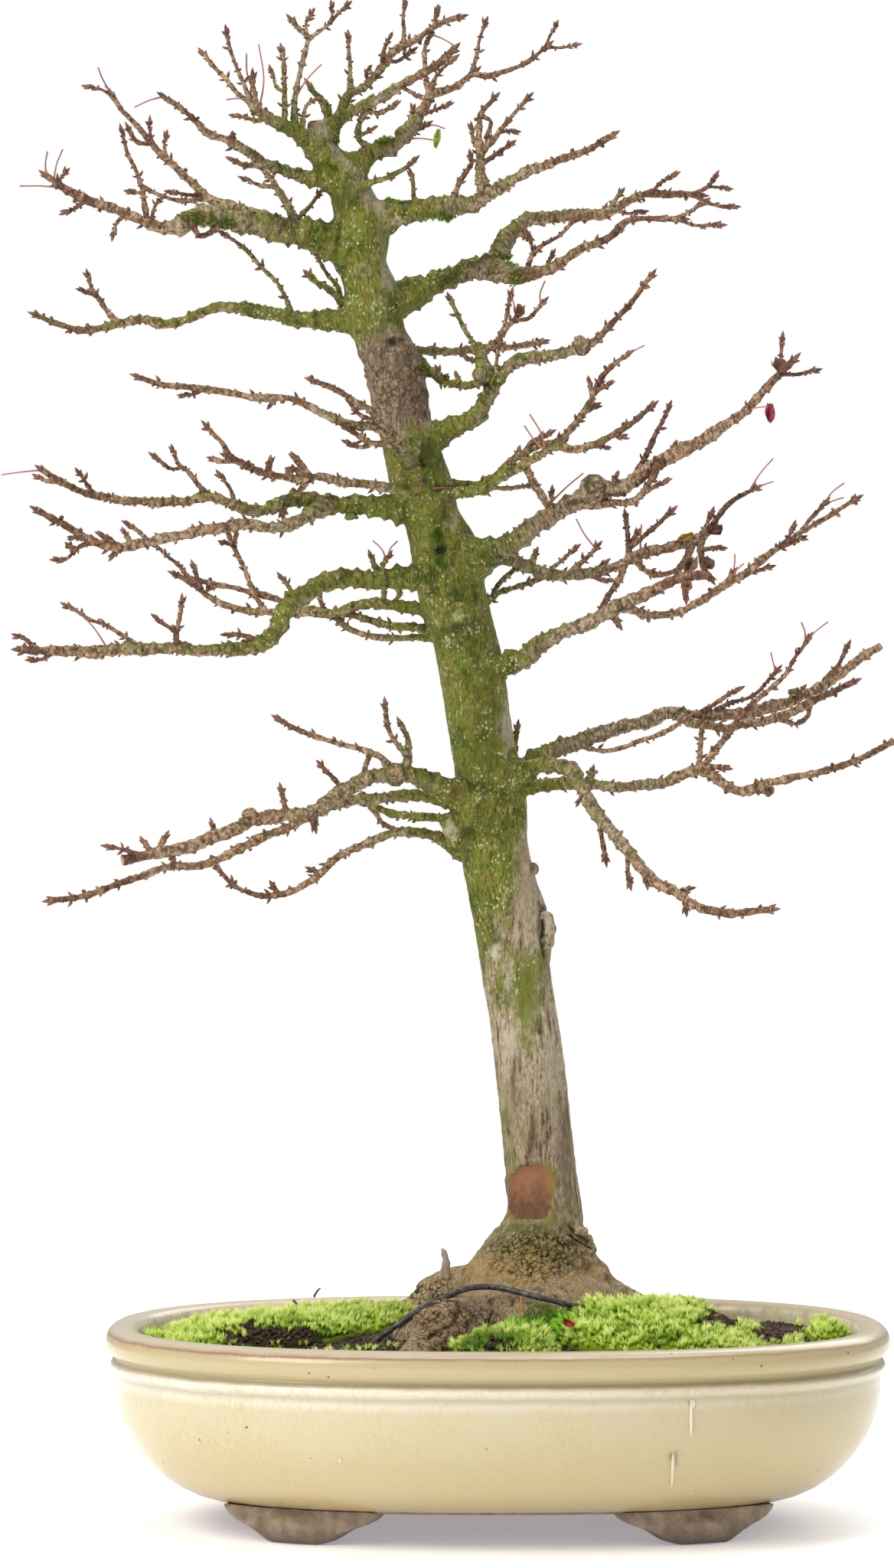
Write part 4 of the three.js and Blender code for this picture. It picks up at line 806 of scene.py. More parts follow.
LIMB_STEP = 1.3
TWIG_STEP = 0.9
PLAIN_GREEN = 0.3
LIMB_BUD_WIDTH = 9
TWIG_BUD_WIDTH = 8
# How green a limb is along its length; the others have the plain share.
GREEN_LIMBS = {
    "green_left_limb": 1.7, "mossy_left_limb": 0.55, "wavy_left_limb": 1.3, "strong_right_limb": 0.9,
    "strong_right_limb_lower": 0.5, "curved_right_limb": 0.6, "low_right_spray": 0.75, "low_right_spray_upper": 0.5,
    "long_left_limb": 1.1, "long_left_limb_lower": 0.45, "lowest_left_limb": 0.6, "rear_left_limb": 0.7,
    "rear_low_left_limb": 0.6, "straight_left_limb": 0.6, "level_right_limb": 0.5, "high_right_limb": 0.4,
    "big_right_limb": 0.15, "lower_right_limb": 0.1, "rising_right_limb": 0.15,
}


def nearest(sticks, u, v):
    """The place and radius on a limb and its twigs that are seen nearest to a spot."""
    stops = [stop for stick in sticks for stop in stick]
    return min(stops, key=lambda stop: (seen(u, v, stop[0].y) - stop[0]).length)


def grow(name, start, way, depths, widths, spacing, seed, parent_radius, on_trunk=False):
    """One limb or twig from its start through its traced spots, kept as a spine of that limb."""
    route = [start]
    for i, (u, v) in enumerate(way, 1):
        route.append(seen(u, v, between(depths, i / len(way))))
    places, length = smooth_route(route, spacing)
    spines[name].append(knobbly(places, widths, length / (len(places) - 1), seed, parent_radius, on_trunk))
    return spines[name][-1]


spines = {}
thick_sticks = []
thin_sticks = []
budded = []
greenness_of = {}
for number, (name, depths, widths, way, twigs) in enumerate(LIMBS):
    first, *rest = spots(way)
    root, middle, tip = depths
    on_trunk = root not in spines
    start, parent = (seen(*first, float(root)), 0.0) if on_trunk else nearest(spines[root], *first)
    spines[name] = []
    levels = [start.y, float(middle), float(tip)]
    main = grow(name, start, rest, levels, widths, LIMB_STEP, number, parent, on_trunk)
    thick_sticks.append(main)
    greenness_of[id(main)] = GREEN_LIMBS.get(name, PLAIN_GREEN)
    if widths[-1] <= LIMB_BUD_WIDTH:
        budded.append(main)
    for order, (twig_widths, lean, way) in enumerate(twigs):
        first, *rest = spots(way)
        start, parent = nearest(spines[name], *first)
        levels = [start.y, start.y + lean]
        twig = grow(name, start, rest, levels, twig_widths, TWIG_STEP, number + order * 7.3, parent)
        greenness_of[id(twig)] = greenness_of[id(main)] * 0.7
        (thick_sticks if twig_widths[0] > 9 else thin_sticks).append(twig)
        if twig_widths[-1] <= TWIG_BUD_WIDTH:
            budded.append(twig)
print(len(thick_sticks), "limbs,", len(thin_sticks), "twigs")

# %% Turn the routes into wood
def wood(name, sticks, resolution):
    """One bevelled curve per stick, then one mesh with closed ends."""
    curve = bpy.data.curves.new(name, "CURVE")
    curve.dimensions = "3D"
    curve.bevel_depth = MM
    curve.bevel_resolution = resolution
    curve.use_fill_caps = True
    for stick in sticks:
        spline = curve.splines.new("POLY")
        spline.points.add(len(stick) - 1)
        for point, (place, radius) in zip(spline.points, stick):
            point.co = (*metres(place), 1)
            point.radius = radius
    obj = new_object(name, curve)
    only(obj)
    bpy.ops.object.convert(target="MESH")
    return obj


APEX_HEIGHT = 618


def age_and_algae(obj, sticks):
    """Young wood is near a tip and far from the trunk; algae sits near the trunk and on top. The
    skin is pushed in and out a little too, as bark is never round."""
    tree = KDTree(sum(len(stick) for stick, _ in sticks))
    facts = []
    for stick, greenness in sticks:
        for i, (place, radius) in enumerate(stick):
            far = math.hypot(max(0, off_trunk(place)), max(0, place.z - APEX_HEIGHT))
            travelled = travelled + (place - stick[i - 1][0]).length if i else 0
            left = 1 if radius > 2.8 else min(1, (len(stick) - i) * 0.04)
            tree.insert(place, len(facts))
            young = min(0.6, far / 150) + 0.5 * (1 - left) + 0.35 * clamp(2.6 - radius)
            facts.append((place, young, 0.95 * math.exp(-far / 28) + greenness * math.exp(-far / 110), travelled))
    tree.balance()
    young_values, algae_values, lengths = [], [], []
    for vertex in obj.data.vertices:
        place = in_mm(vertex.co)
        _, index, _ = tree.find(place)
        centre, young, algae, travelled = facts[index]
        neighbour = facts[min(index + 1, len(facts) - 1)][0]
        heading = (neighbour - centre).normalized()
        lengths.append((travelled + (place - centre).dot(heading)) * MM)
        out = (place - centre).normalized()
        push = 0.5 * noise.noise(place * 0.42) + 0.45 * noise.noise(place * 0.85)
        vertex.co += out * push * min(1, (place - centre).length * 0.35) * MM
        algae_values.append(clamp(algae * (0.8 + 0.3 * out.z - 0.25 * out.x)))
        young_values.append(min(1, young))
    write_values(obj, "young", young_values)
    write_values(obj, "algae", algae_values)
    write_values(obj, "length", lengths)


limbs = wood("limbs", thick_sticks, 3)
twigs_piece = wood("twigs", thin_sticks, 1)
age_and_algae(limbs, [(stick, greenness_of[id(stick)]) for stick in thick_sticks])
age_and_algae(twigs_piece, [(stick, greenness_of[id(stick)] * 0.6) for stick in thin_sticks])
finish_piece(limbs, limb_bark)
finish_piece(twigs_piece, twig_bark)

# %% [markdown]
# No limb of an old maple is smooth: it carries the stubs of lost shoots and dormant buds. A few
# millimetres apart, stubs sit in pairs all ways round. One crumpled cone is copied to each place.

# %% Stubs along the limbs
def small_form(name, rule, segments, rings):
    deselect()
    bpy.ops.mesh.primitive_uv_sphere_add(segments=segments, ring_count=rings, radius=1)
    obj = bpy.context.object
    obj.name = name
    for vertex in obj.data.vertices:
        vertex.co = rule(Vector(vertex.co))
    return obj


def along(start, direction, roll, size):
    turn = direction.to_track_quat("Z", "Y").to_matrix().to_4x4()
    return Matrix.Translation(start) @ turn @ Matrix.Rotation(roll, 4, "Z") @ Matrix.Scale(size, 4)


def sideways(heading, turn):
    """A direction square to the heading, turned round it."""
    return Matrix.Rotation(turn, 3, heading) @ heading.orthogonal().normalized()


def stub_shape(place):
    t = (place.z + 1) / 2
    ragged = 1 + 0.4 * noise.noise(place * 2.3)
    return Vector((place.x * (1.05 - 0.35 * t), place.y * (1.05 - 0.35 * t), 1.7 * t)) * ragged


def nodes_on(stick, gap, closest, spread, thickest, tip_gap=0):
    """Places with radius and heading at uneven gaps, where the stick is thin and off its tip."""
    travelled = 0.0
    for (a, radius), (b, _) in zip(stick, stick[1:]):
        travelled += (b - a).length
        if travelled < gap or radius > thickest or (b - stick[-1][0]).length < tip_gap:
            continue
        travelled, gap = 0.0, closest + spread * random.random()
        yield b, radius, (b - a).normalized()


STUB_WOOD = 8.5


def stubs_on(sticks, name, finish, closest, spread, sizes):
    places = []
    for stick in sticks:
        turn = random.random() * 6
        gap = closest + spread * random.random()
        for place, radius, heading in nodes_on(stick[2:], gap, closest, spread, STUB_WOOD):
            turn += math.pi / 2 + random.uniform(-0.5, 0.5)
            out = sideways(heading, turn)
            for sign in (-1, 1):
                if random.random() < 0.35:
                    continue
                lean = (heading * random.uniform(0, 0.8) + out * sign).normalized()
                places.append(along(place + out * sign * radius * 0.72, lean, turn, random.uniform(*sizes)))
    stubs = scatter(small_form("stub", stub_shape, 6, 4), places, name)
    age_and_algae(stubs, [(stick, greenness_of[id(stick)] * 0.8) for stick in sticks])
    finish_piece(stubs, finish)


stubs_on(thick_sticks, "limb_stubs", limb_bark, 2.4, 4.6, (0.6, 1.25))
stubs_on(thin_sticks, "twig_stubs", twig_bark, 1.3, 1.9, (0.42, 0.8))

# %% [markdown]
# The trunk, its root flare, the swollen root at the front and the collars of the limbs run into
# one another without a seam. So they are overlapped as simple forms, melted together by a voxel
# remesh and relaxed, as clay would be. One rule then roughens the skin with long fibres, flakes,
# cracks and hollows, and the faces that it doesn't need are taken out.

# %% Trunk, roots and limb collars as one skin
def rows(table):
    """Rows of a few numbers, a semicolon and a route."""
    return [[numbers(line.split(";")[0]), spots(line.split(";")[1])] for line in table.strip().splitlines()]


ROOTS = rows("""
13 10 5; -5,4,102 -22,6,100 -36,9,90 -60,14,78 -82,18,66
13 9 5; 38,2,100 64,4,90 88,8,78 106,12,64
12 9 5; 12,20,98 -2,48,86 -10,70,74 -14,86,60
12 8 5; 30,15,98 48,42,85 62,62,73 70,76,60
12 9 5; 30,-15,98 50,-38,86 64,-56,76 74,-70,62
12 12 8; 26,-4,126 33,-4,114 45,-3,100 66,-2,88
12 11 8; -14,-42,86 -27,-60,84 -39,-82,78
""")
KNOTS = spots("""
600,805,-23,6.5 512,272,-10,4.5 519,288,-8,3 591,1083,-10,4.6 583,1072,-12,3.6 540,600,-12,4 600,1030,-11,5.6
560,712,-14,4 478,352,-12,2.6 594,1096,-9,4 768,1619,-6,2.6 772,1631,-8,2.8 760,1610,-12,3 714,1200,-3,3.6
716,1214,-3,4 715,1230,-3,3.6 695,1135,-4,3.4
""")
SKIN_VOXEL = 0.00095


def trunk_stick():
    places, length = smooth_route([Vector((x, y, z)) for z, x, y, _ in reversed(rings)], 3)
    stick = []
    for place in places:
        radius = trunk_at(place.z)[2]
        flare = clamp((133 - place.z) / 32)
        stick.append((place, radius * (1 - 0.1 * flare)))
    return stick


parts = [wood("trunk", [trunk_stick()], 18)]
root_sticks = []
for radii, way in ROOTS:
    places, length = smooth_route([Vector(point) for point in way], 3)
    stick = []
    for i, place in enumerate(places):
        radius = between(radii, i / (len(places) - 1)) * (1 + 0.12 * noise.noise(place * 0.1))
        stick.append((place, radius))
    root_sticks.append(stick)
parts.append(wood("roots", root_sticks, 8))
collars = []
for stick in thick_sticks:
    close = [(place, radius * 1.02) for place, radius in stick if off_trunk(place) < 14]
    if len(close) > 4 and close[0][1] > 2.2:
        collars.append(close)
parts.append(wood("collars", collars, 6))
dead_stub = spots("584,1672,3 583,1652,2.6 580,1636,1.7 578,1629,0.6")
parts.append(wood("dead_stub", [[(seen(u, v, -17), radius) for u, v, radius in dead_stub]], 4))
for u, v, depth, radius in KNOTS:
    bpy.ops.mesh.primitive_uv_sphere_add(segments=24, ring_count=16, radius=radius * MM,
                                         location=metres(seen(u, v, depth)))
    parts.append(bpy.context.object)
bpy.ops.mesh.primitive_uv_sphere_add(segments=32, ring_count=20, radius=MM,
                                     location=metres((-19, -42, 82)), scale=(28, 20, 22.5))
parts.append(bpy.context.object)
for part in parts:
    settle(part)
trunk = join(parts, "trunk_and_roots")
apply_modifier(trunk, "REMESH", mode="VOXEL", voxel_size=SKIN_VOXEL)
apply_modifier(trunk, "SMOOTH", factor=0.5, iterations=4)
print("trunk skin", len(trunk.data.polygons), "faces")

# %% Fibres, flakes and cracks in the skin
GRAFT_HEIGHT = 508
CRUST_TOP = 150
SCAR_TOP_ROW = 1180
KEPT_SHARE = 0.58
CRUST = spots("700,1640,66,34 600,1738,62,40 562,1700,34,30")
CRACKS = rows("""
3.2 3.2; 712,1186 707,1205 708,1225 713,1246
2.6 2.6; 594,1700 601,1712 592,1718 595,1727 586,1733 572,1738 558,1749
1.6 2.2; 640,1700 643,1715 636,1728
1.5 2.2; 742,1612 757,1622 775,1632
0.5 2.2; 655,1606 690,1618
1.4 2.6; 742,1600 752,1612 766,1620
""")
HOLLOWS = spots("""
515,447,11,6,2.2 575,718,9,7,2.2 553,605,8,8,1.6 706,1347,3.5,5,1.4 633,958,6,6,1.2 696,1134,3.5,9,1.6
600,822,12,7,1.5 732,1436,2.5,5,1.2
""")
EYE_KNOT = (477, 353, 9)
SCAR = (692, 1557, 28, 36)


def scar_reach(u, v):
    """Below 1 inside the scar of a lost limb, a rounded square whose top is arched and slants."""
    u0, v0, half_u, half_v = SCAR
    power = 4
    if v < v0:
        half_v -= 11 * max(0, (u0 - u) / half_u) ** 2
        power = 3.2
    return (abs((u - u0) / half_u) ** power + abs((v - v0) / half_v) ** power) ** (1 / power)


def crack_depth(u, v):
    depth = 0
    for (deep, wide), route in CRACKS:
        for (u0, v0), (u1, v1) in zip(route, route[1:]):
            t = clamp(((u - u0) * (u1 - u0) + (v - v0) * (v1 - v0)) / ((u1 - u0) ** 2 + (v1 - v0) ** 2))
            away = math.hypot(u - u0 - t * (u1 - u0), v - v0 - t * (v1 - v0))
            depth = max(depth, deep * bell(away, wide))
    return depth


def nearest_oval(u, v, ovals):
    """How far a spot is from the middle of an oval, 1 on its edge, for the nearest of several."""
    return min(math.hypot((u - u0) / half_u, (v - v0) / half_v) for u0, v0, half_u, half_v in ovals)


def crusty(u, v):
    """How flaky the root flare is there, 0 to 1."""
    return clamp(2.2 - 1.7 * nearest_oval(u, v, CRUST))


def rough_bark(place):
    """Long fibres up the trunk, rough ridges at the graft, flakes and cracks at the root flare."""
    centre_x, centre_y, thick = trunk_at(place.z)
    out = Vector((place.x - centre_x, place.y - centre_y, 0))
    way = out.normalized() if out.length > 0.1 else Vector((0, 0, 1))
    turn = math.atan2(out.y, out.x)
    fibre = noise.noise(Vector((math.cos(turn) * 5, math.sin(turn) * 5, place.z * 0.02)))
    flake = noise.noise(place * 0.22) + 0.5 * noise.noise(place * 0.5)
    graft = bell(place.z - GRAFT_HEIGHT, 16)
    base = clamp((CRUST_TOP - place.z) / 25)
    push = 0.55 * fibre + 0.28 * flake + graft * 1.2 * flake + base * 1.1 * flake
    u, v = in_view(place)
    crust = crusty(u, v) if place.z < CRUST_TOP else 0
    if crust > 0:
        plates = 0.14 if u < 640 else 0.3
        near, second = noise.voronoi(Vector((place.x, place.y, place.z * 0.8)) * plates)[0][:2]
        push += crust * (0.5 - 1.7 * bell(second - near, 0.2))
    if place.y < centre_y:
        if v > SCAR_TOP_ROW:
            push -= crack_depth(u, v)
            scar = scar_reach(u, v)
            push += 0.9 * bell(scar - 1.14, 0.1) - 1.3 * clamp(4 * (1 - scar))
        for u0, v0, half_u, half_v, deep in HOLLOWS:
            push -= deep * math.exp(-((u - u0) / half_u) ** 2 - ((v - v0) / half_v) ** 2)
        u0, v0, ring_radius = EYE_KNOT
        ring = math.hypot(u - u0, (v - v0) * 1.2)
        push += 0.8 * bell(ring - ring_radius, 2.5) - 0.9 * bell(ring, 4)
    return place + way * push


reshape(trunk, rough_bark)
apply_modifier(trunk, "DECIMATE", ratio=KEPT_SHARE)
trunk.data.validate()
print("rough skin", len(trunk.data.polygons), "faces")

# %% [markdown]
# Algae and old marks are painted on the skin. Rows give how green the trunk is at its
# left, middle and right at each height. Dabs are ovals in the front view: hollows, pale bald bark,
# knots, the olive band and the tan crust of the root flare. The scar of a lost limb is red-brown
# with a green rim, and the cracks are dark.

# %% Paint on the trunk
GREEN_ROWS = spots("""
150,0.3,0.3,0.1 200,0.7,0.6,0.3 240,0.9,0.65,0.1 300,0.9,0.85,0.65 380,0.9,0.8,0.6 420,0.85,0.7,0.75
448,0.5,0.2,0.1 468,0,0,0 545,0,0,0.1 572,0.5,0.7,0.9 640,0.85,0.8,0.7 700,0.95,0.9,0.75 900,1,0.95,0.65
960,1,0.95,0.3 1000,1,1,0.8 1070,1,1,0.75 1130,1,0.9,0.25 1180,1,0.7,0 1225,0.9,0.4,0.2 1255,0.45,0.75,0.5
1300,0.3,0.8,0.35 1350,0.2,0.45,0 1400,0.3,0.1,0 1500,0.4,0.1,0 1590,0.35,0.3,0.2 1640,0.35,0.3,0.2
1700,0.1,0.1,0.1
""")
# The darkest dabs are painted shade: in the hollows at 515,447 553,605 575,718 633,958 695,1134 706,1347 and
# 732,1437, in the long crack at 709,1215, under the knot at 600,822, under the high limbs at 445,262 and 460,250,
# and at the root's foot at 642,1752.
DABS = []
for dab in """
460,250,25,22,3F4A1C,0.6 486,255,11,17,C4B29A,0.6 507,361,12,20,C0B0A2,0.55 477,352,12,9,B8AE86,0.5
477,352,4,3,4A4526,0.9 495,500,26,40,A58C70,0.5 530,505,20,44,846E56,0.6 515,447,13,7,40301F,0.8
542,482,10,20,5F4C38,0.5 495,545,22,16,B59E82,0.4 512,470,30,12,5E4C38,0.45 552,588,25,25,3D4A1C,0.6
572,700,8,24,48622A,0.3 592,680,9,15,C2B08E,0.6 575,718,9,6,262411,0.8 600,822,15,9,3A401A,0.65
600,805,9,8,BDB686,0.6 663,945,7,42,C6B59E,0.7 633,958,6,6,3C461A,0.75 688,1130,11,54,B59E88,0.7
695,1134,4,9,453527,0.9 684,1182,15,42,AF9C84,0.5 646,1243,10,14,D6CDB6,0.6 664,1275,8,26,C8BFA2,0.5
667,1358,11,18,D2C8B0,0.55 652,1376,10,16,CCC2AA,0.45 690,1308,16,50,7C8432,0.6 706,1347,4,6,5A4630,0.8
724,1420,10,66,C2B39E,0.5 738,1510,13,90,7A6450,0.6 636,960,24,90,565A1A,0.55 690,1255,26,22,8A8A34,0.5
556,686,14,30,98A050,0.5 660,1460,6,14,6C7C36,0.75 718,1440,12,20,7F7A3E,0.45 676,1400,8,60,7F6A56,0.4
700,1480,7,50,7E6856,0.4 715,1370,8,50,8F7A64,0.4 650,1500,12,34,8B8A4E,0.45 732,1437,3,5,3F3022,0.7
690,1606,46,12,6C7632,0.6 682,1632,44,18,8E8638,0.6 672,1450,18,50,9A8B5A,0.45 596,1744,30,14,4A4626,0.7
700,1648,62,36,C8A468,0.66 636,1648,26,16,D0B078,0.6 684,1630,30,12,8E8434,0.6 642,1652,20,10,DCBE84,0.6
630,1662,34,24,AE8C55,0.55 764,1672,42,26,9C8058,0.55 742,1640,30,18,6F7034,0.4 600,1742,52,34,AC8A62,0.6
620,1684,24,12,B49A76,0.6 614,1716,24,20,75685A,0.7 642,1752,15,14,313A14,0.7 640,1722,12,16,6A5A48,0.6
595,1034,15,13,7E553A,0.6 588,1084,14,14,C9BC98,0.6 706,1003,11,9,C08E50,0.8 503,270,13,10,B4A482,0.8
503,271,6,4,4C4632,0.9 519,289,8,7,C8B292,0.9 519,289,2.5,2.5,6A4E36,0.9 445,262,16,16,343E16,0.5
477,352,14,11,C6BC92,0.5 477,353,9,6,70703A,0.6 580,1645,8,20,B0A496,1 709,1215,3,30,1E1812,0.9
553,605,11,9,4C3A26,0.6
""".split():
    *oval, tint, strength = dab.split(",")
    DABS.append((*map(float, oval), colour(tint), float(strength)))


def paint_trunk(obj):
    algae, crust, dabs = [], [], []
    tints = [colour(tint)[:3] for tint in ("AE7A58", "7A5640", "948636", "33281C")]
    fresh_scar, old_scar, green_rim, painted_crack_shade = tints
    heights, *columns = zip(*GREEN_ROWS)
    for vertex in obj.data.vertices:
        place = in_mm(vertex.co)
        u, v = in_view(place)
        centre_x, centre_y, thick = trunk_at(place.z)
        across = (place.x - centre_x) / thick
        on_collar = abs(across) > 1.12 and v < 1250
        across = min(1, max(-1, across))
        left, middle, right = (float(np.interp(v, heights, column)) for column in columns)
        side = right - middle if across > 0 else middle - left
        algae.append(0.85 if on_collar else middle + side * across)
        # Flat over the graft band and steep at its edges.
        graft = 0.8 * math.exp(-((place.z - GRAFT_HEIGHT) / 17) ** 4)
        crust.append(crusty(u, v) if place.z < CRUST_TOP else graft)
        mixed, strongest = (0, 0, 0), 0
        if place.y < centre_y + 3:
            wobble = noise.noise_vector(place * 0.2) * 0.5 + noise.noise_vector(place * 0.55) * 0.45
            for u0, v0, half_u, half_v, tint, strength in DABS:
                if abs(u - u0) > 2.4 * half_u or abs(v - v0) > 2.4 * half_v:
                    continue
                reach = math.hypot((u - u0) / half_u + wobble.x, (v - v0) / half_v + wobble.z) + 0.4 * wobble.y
                if reach < 1.4:
                    share = strength * min(1, (1.4 - reach) * 1.25)
                    mixed = [a + (b - a) * share for a, b in zip(mixed, tint)] if strongest else tint[:3]
                    strongest = max(strongest, share)
            scar = scar_reach(u, v) if v > 1500 else 2
            if scar < 1:
                worn = (v - 1543) / 36 + 0.5 * noise.noise(place * 0.7) + 0.5 * noise.noise(place * 0.25)
                mixed, strongest = Vector(fresh_scar).lerp(Vector(old_scar), clamp(worn)), 1
            elif scar < 1.26 + 0.4 * wobble.x and (u > 711 or (v > 1576 and u < 674)):
                mixed, strongest = green_rim, 0.65
            # In the deeper cracks of the root flare the bark is painted dark: painted shade in the cracks.
            elif v > 1590 and crack_depth(u, v) > 0.7:
                mixed, strongest = painted_crack_shade, 0.8
        dabs.extend((*mixed, strongest))
    write_values(obj, "algae", algae)
    write_values(obj, "crust", crust)
    obj.data.attributes.new("dab", "FLOAT_COLOR", "POINT").data.foreach_set("color", dabs)


paint_trunk(trunk)
finish_piece(trunk, trunk_bark, ["tree"])

# %% [markdown]
# Winter buds are small pointed ovals that sit in opposite pairs, each pair a quarter turn round
# from the last, with one at the tip. One bud is modelled and copied to every node.

# %% One winter bud
def bud_shape(place):
    t = (place.z + 1) / 2
    fat = math.sqrt(max(0, 1 - (2 * t - 0.75) ** 2 / 1.6)) * (1 - t ** 3)
    around = Vector((place.x, place.y, 0))
    if around.length > 1e-5:
        around.normalize()
    return around * 0.95 * fat * min(1, 6 * t + 0.4) + Vector((0, 0, 4.4 * t))


BUD_WOOD = 2.8
bud = small_form("bud", bud_shape, 6, 6)
bud_matrices = []
for order, stick in enumerate(budded):
    tip, tip_radius = stick[-1]
    heading = (tip - stick[-5][0]).normalized()
    side = heading.orthogonal().normalized()
    grown = 0.85 + 0.22 * tip_radius
    bud_matrices.append(along(tip - heading * 0.4, heading, order, grown))
    for sign in (-1, 1):
        lean = (heading + side * sign * random.uniform(0.5, 1.1)).normalized()
        bud_matrices.append(along(tip - heading * 1.4, lean, order, grown * random.uniform(0.7, 1)))
        lean = (heading * 1.3 + heading.cross(side) * sign).normalized()
        bud_matrices.append(along(tip - heading * 3.6, lean, order, grown * 0.7))
    gap = 8 + 3 * random.random()
    turn = random.random() * 3
    for place, radius, heading in nodes_on(stick, gap, 6.5, 6, BUD_WOOD, 4):
        turn += math.pi / 2
        out = sideways(heading, turn)
        for sign in (-1, 1):
            if random.random() < 0.25:
                continue
            lean = (heading * 0.8 + out * sign).normalized()
            start = place + out * sign * radius * 0.75
            bud_matrices.append(along(start, lean, turn, 0.5 + 0.4 * random.random()))
winter_buds = scatter(bud, bud_matrices, "winter_buds")
bud_scales = mottled("Bud scales, dark brown and dry", 3, 0.35, 0.65, "50362A", "8E6246", 0.7)
finish_piece(winter_buds, bud_scales)
print(len(bud_matrices), "buds")

# %% [markdown]
# A pruned limb ends in a pale round of sawn wood.

# %% Sawn ends
CUT_LIMBS = """
high_right_limb green_left_limb lowest_left_limb straight_left_limb big_right_limb lower_right_limb
level_right_limb drooping_right_limb long_left_limb_lower
""".split()
rounds = []
for name in CUT_LIMBS:
    (before, _), (tip, radius) = spines[name][0][-2:]
    heading = (tip - before).normalized()
    deselect()
    bpy.ops.mesh.primitive_cylinder_add(vertices=16, radius=radius * 0.96 * MM, depth=0.5 * MM)
    disc = bpy.context.object
    disc.location = metres(tip + heading * 0.1)
    disc.rotation_euler = heading.to_track_quat("Z", "Y").to_euler()
    settle(disc)
    apply_modifier(disc, "BEVEL", width=0.12 * MM, segments=2)
    rounds.append(disc)
sawn_ends = join(rounds, "sawn_ends")
sawn_wood = plain("Sawn maple wood, pale and dry", "B59A7A", 0.8)
finish_piece(sawn_ends, sawn_wood, smooth=False)

# %% [markdown]
# Some leaf stalks stayed on after the leaves fell: thin curved hairs, pink-brown, thicker at the
# wood. They are curves with three points, each a little bowed.

# %% Left-over leaf stalks
STALKS = """
left_limb_above_it 160,145,137,112 145,122,128,88
mossy_left_limb 84,246,26,243 72,235,82,195 60,229,62,198
high_left_limb 214,126,176,140
crown_left 333,133,296,130 340,142,338,58 330,118,322,70 392,130,420,84
crown_right 560,160,581,168 548,198,566,183
crown_back 575,72,598,62
long_left_limb 55,614,2,620
green_left_limb 501,728,487,706 505,728,519,707
low_right_spray 700,573,685,556 702,572,692,541
low_right_spray_upper 820,462,842,451
curved_right_limb 703,396,712,367 672,410,668,385
big_right_limb 722,657,762,618 977,537,1003,531
right_limb_behind 775,713,753,678 975,632,1010,599 985,635,1010,629 835,718,838,685
rising_right_limb_lower 1078,660,1103,631 1078,662,1102,650 957,745,960,724 960,748,972,736
lower_right_limb 1013,877,1007,852
level_right_limb 1048,838,1047,813 1056,840,1082,812
front_branch 560,634,628,642
green_left_limb 140,848,96,793
"""


def hairs(name, routes, radii, resolution):
    """Thin tapering curves through three or more places in millimetres."""
    sticks = []
    for route in routes:
        places, length = smooth_route(route, 1.5)
        sticks.append([(place, between(radii, i / (len(places) - 1))) for i, place in enumerate(places)])
    return wood(name, sticks, resolution)


stalk_routes = []
for line in STALKS.strip().splitlines():
    limb_name, stalks = line.split(maxsplit=1)
    for u0, v0, u1, v1 in spots(stalks):
        start, radius = nearest(spines[limb_name], u0, v0)
        end = seen(u1, v1, start.y + random.uniform(-6, 6))
        bow = Vector((random.uniform(-1, 1), random.uniform(-1, 1), random.uniform(0, 1)))
        bow = bow * (end - start).length * 0.09
        stalk_routes.append([start, start.lerp(end, 0.45) + bow, end])
leaf_stalks = hairs("leaf_stalks", stalk_routes, (0.52, 0.36, 0.38), 1)
stalk_finish = mottled("Dry leaf stalk, pink-brown", 14, 0.4, 0.6, "8E6458", "C07A74", 0.6)
finish_piece(leaf_stalks, stalk_finish)

# %% [markdown]
# A few scraps of dry leaf hang on: small sheets, crumpled by noise and given a paper's thickness.

# %% Scraps of leaf
SCRAPS = """
big_right_limb 1006,541,4.5,9 A03A42
right_limb_behind 939,699,6,6 7A2B22
right_limb_behind 896,703,3.4,7.5 B08A34
crown_right 571,182,3,9 A9BE50
big_right_limb 1018,480,7,7 7B5742
lower_right_limb 1030,898,4,5 8B8A55
rising_right_limb 897,767,5,5 8A6048
curved_right_limb 678,408,5,5 8A5A4C
right_limb_behind 934,692,4,7 7C5A42
right_limb_behind 903,742,7,8 9A8260
right_limb_behind 925,738,6,6 7A5C44
"""


def hang_scrap(name, centre, wide, tall, tint, turn):
    deselect()
    bpy.ops.mesh.primitive_grid_add(x_subdivisions=7, y_subdivisions=9, size=1)
    scrap = bpy.context.object
    scrap.name = name
    spin = Matrix.Rotation(1.2 + 0.5 * noise.noise(Vector((turn, 1, 1))), 3, "X") @ Matrix.Rotation(turn, 3, "Z")
    for vertex in scrap.data.vertices:
        x, y = vertex.co.x, vertex.co.y
        narrow = 1 - 1.6 * abs(y) ** 1.5
        curl = 4.2 * x * x + 1.6 * y * y + 1.2 * noise.noise(Vector((x * 3, y * 3, turn)))
        local = spin @ Vector((x * wide * narrow, y * tall, curl * wide * 0.4))
        vertex.co = metres(centre + local)
    apply_modifier(scrap, "SOLIDIFY", thickness=0.18 * MM)
    worn = tuple(channel * 0.6 for channel in colour(tint)[:3]) + (1,)
    dry_leaf = mottled(f"Dry maple leaf {tint.lower()}, thin and crumpled", 2, 0.4, 0.6, worn, tint, 0.65)
    finish_piece(scrap, dry_leaf)


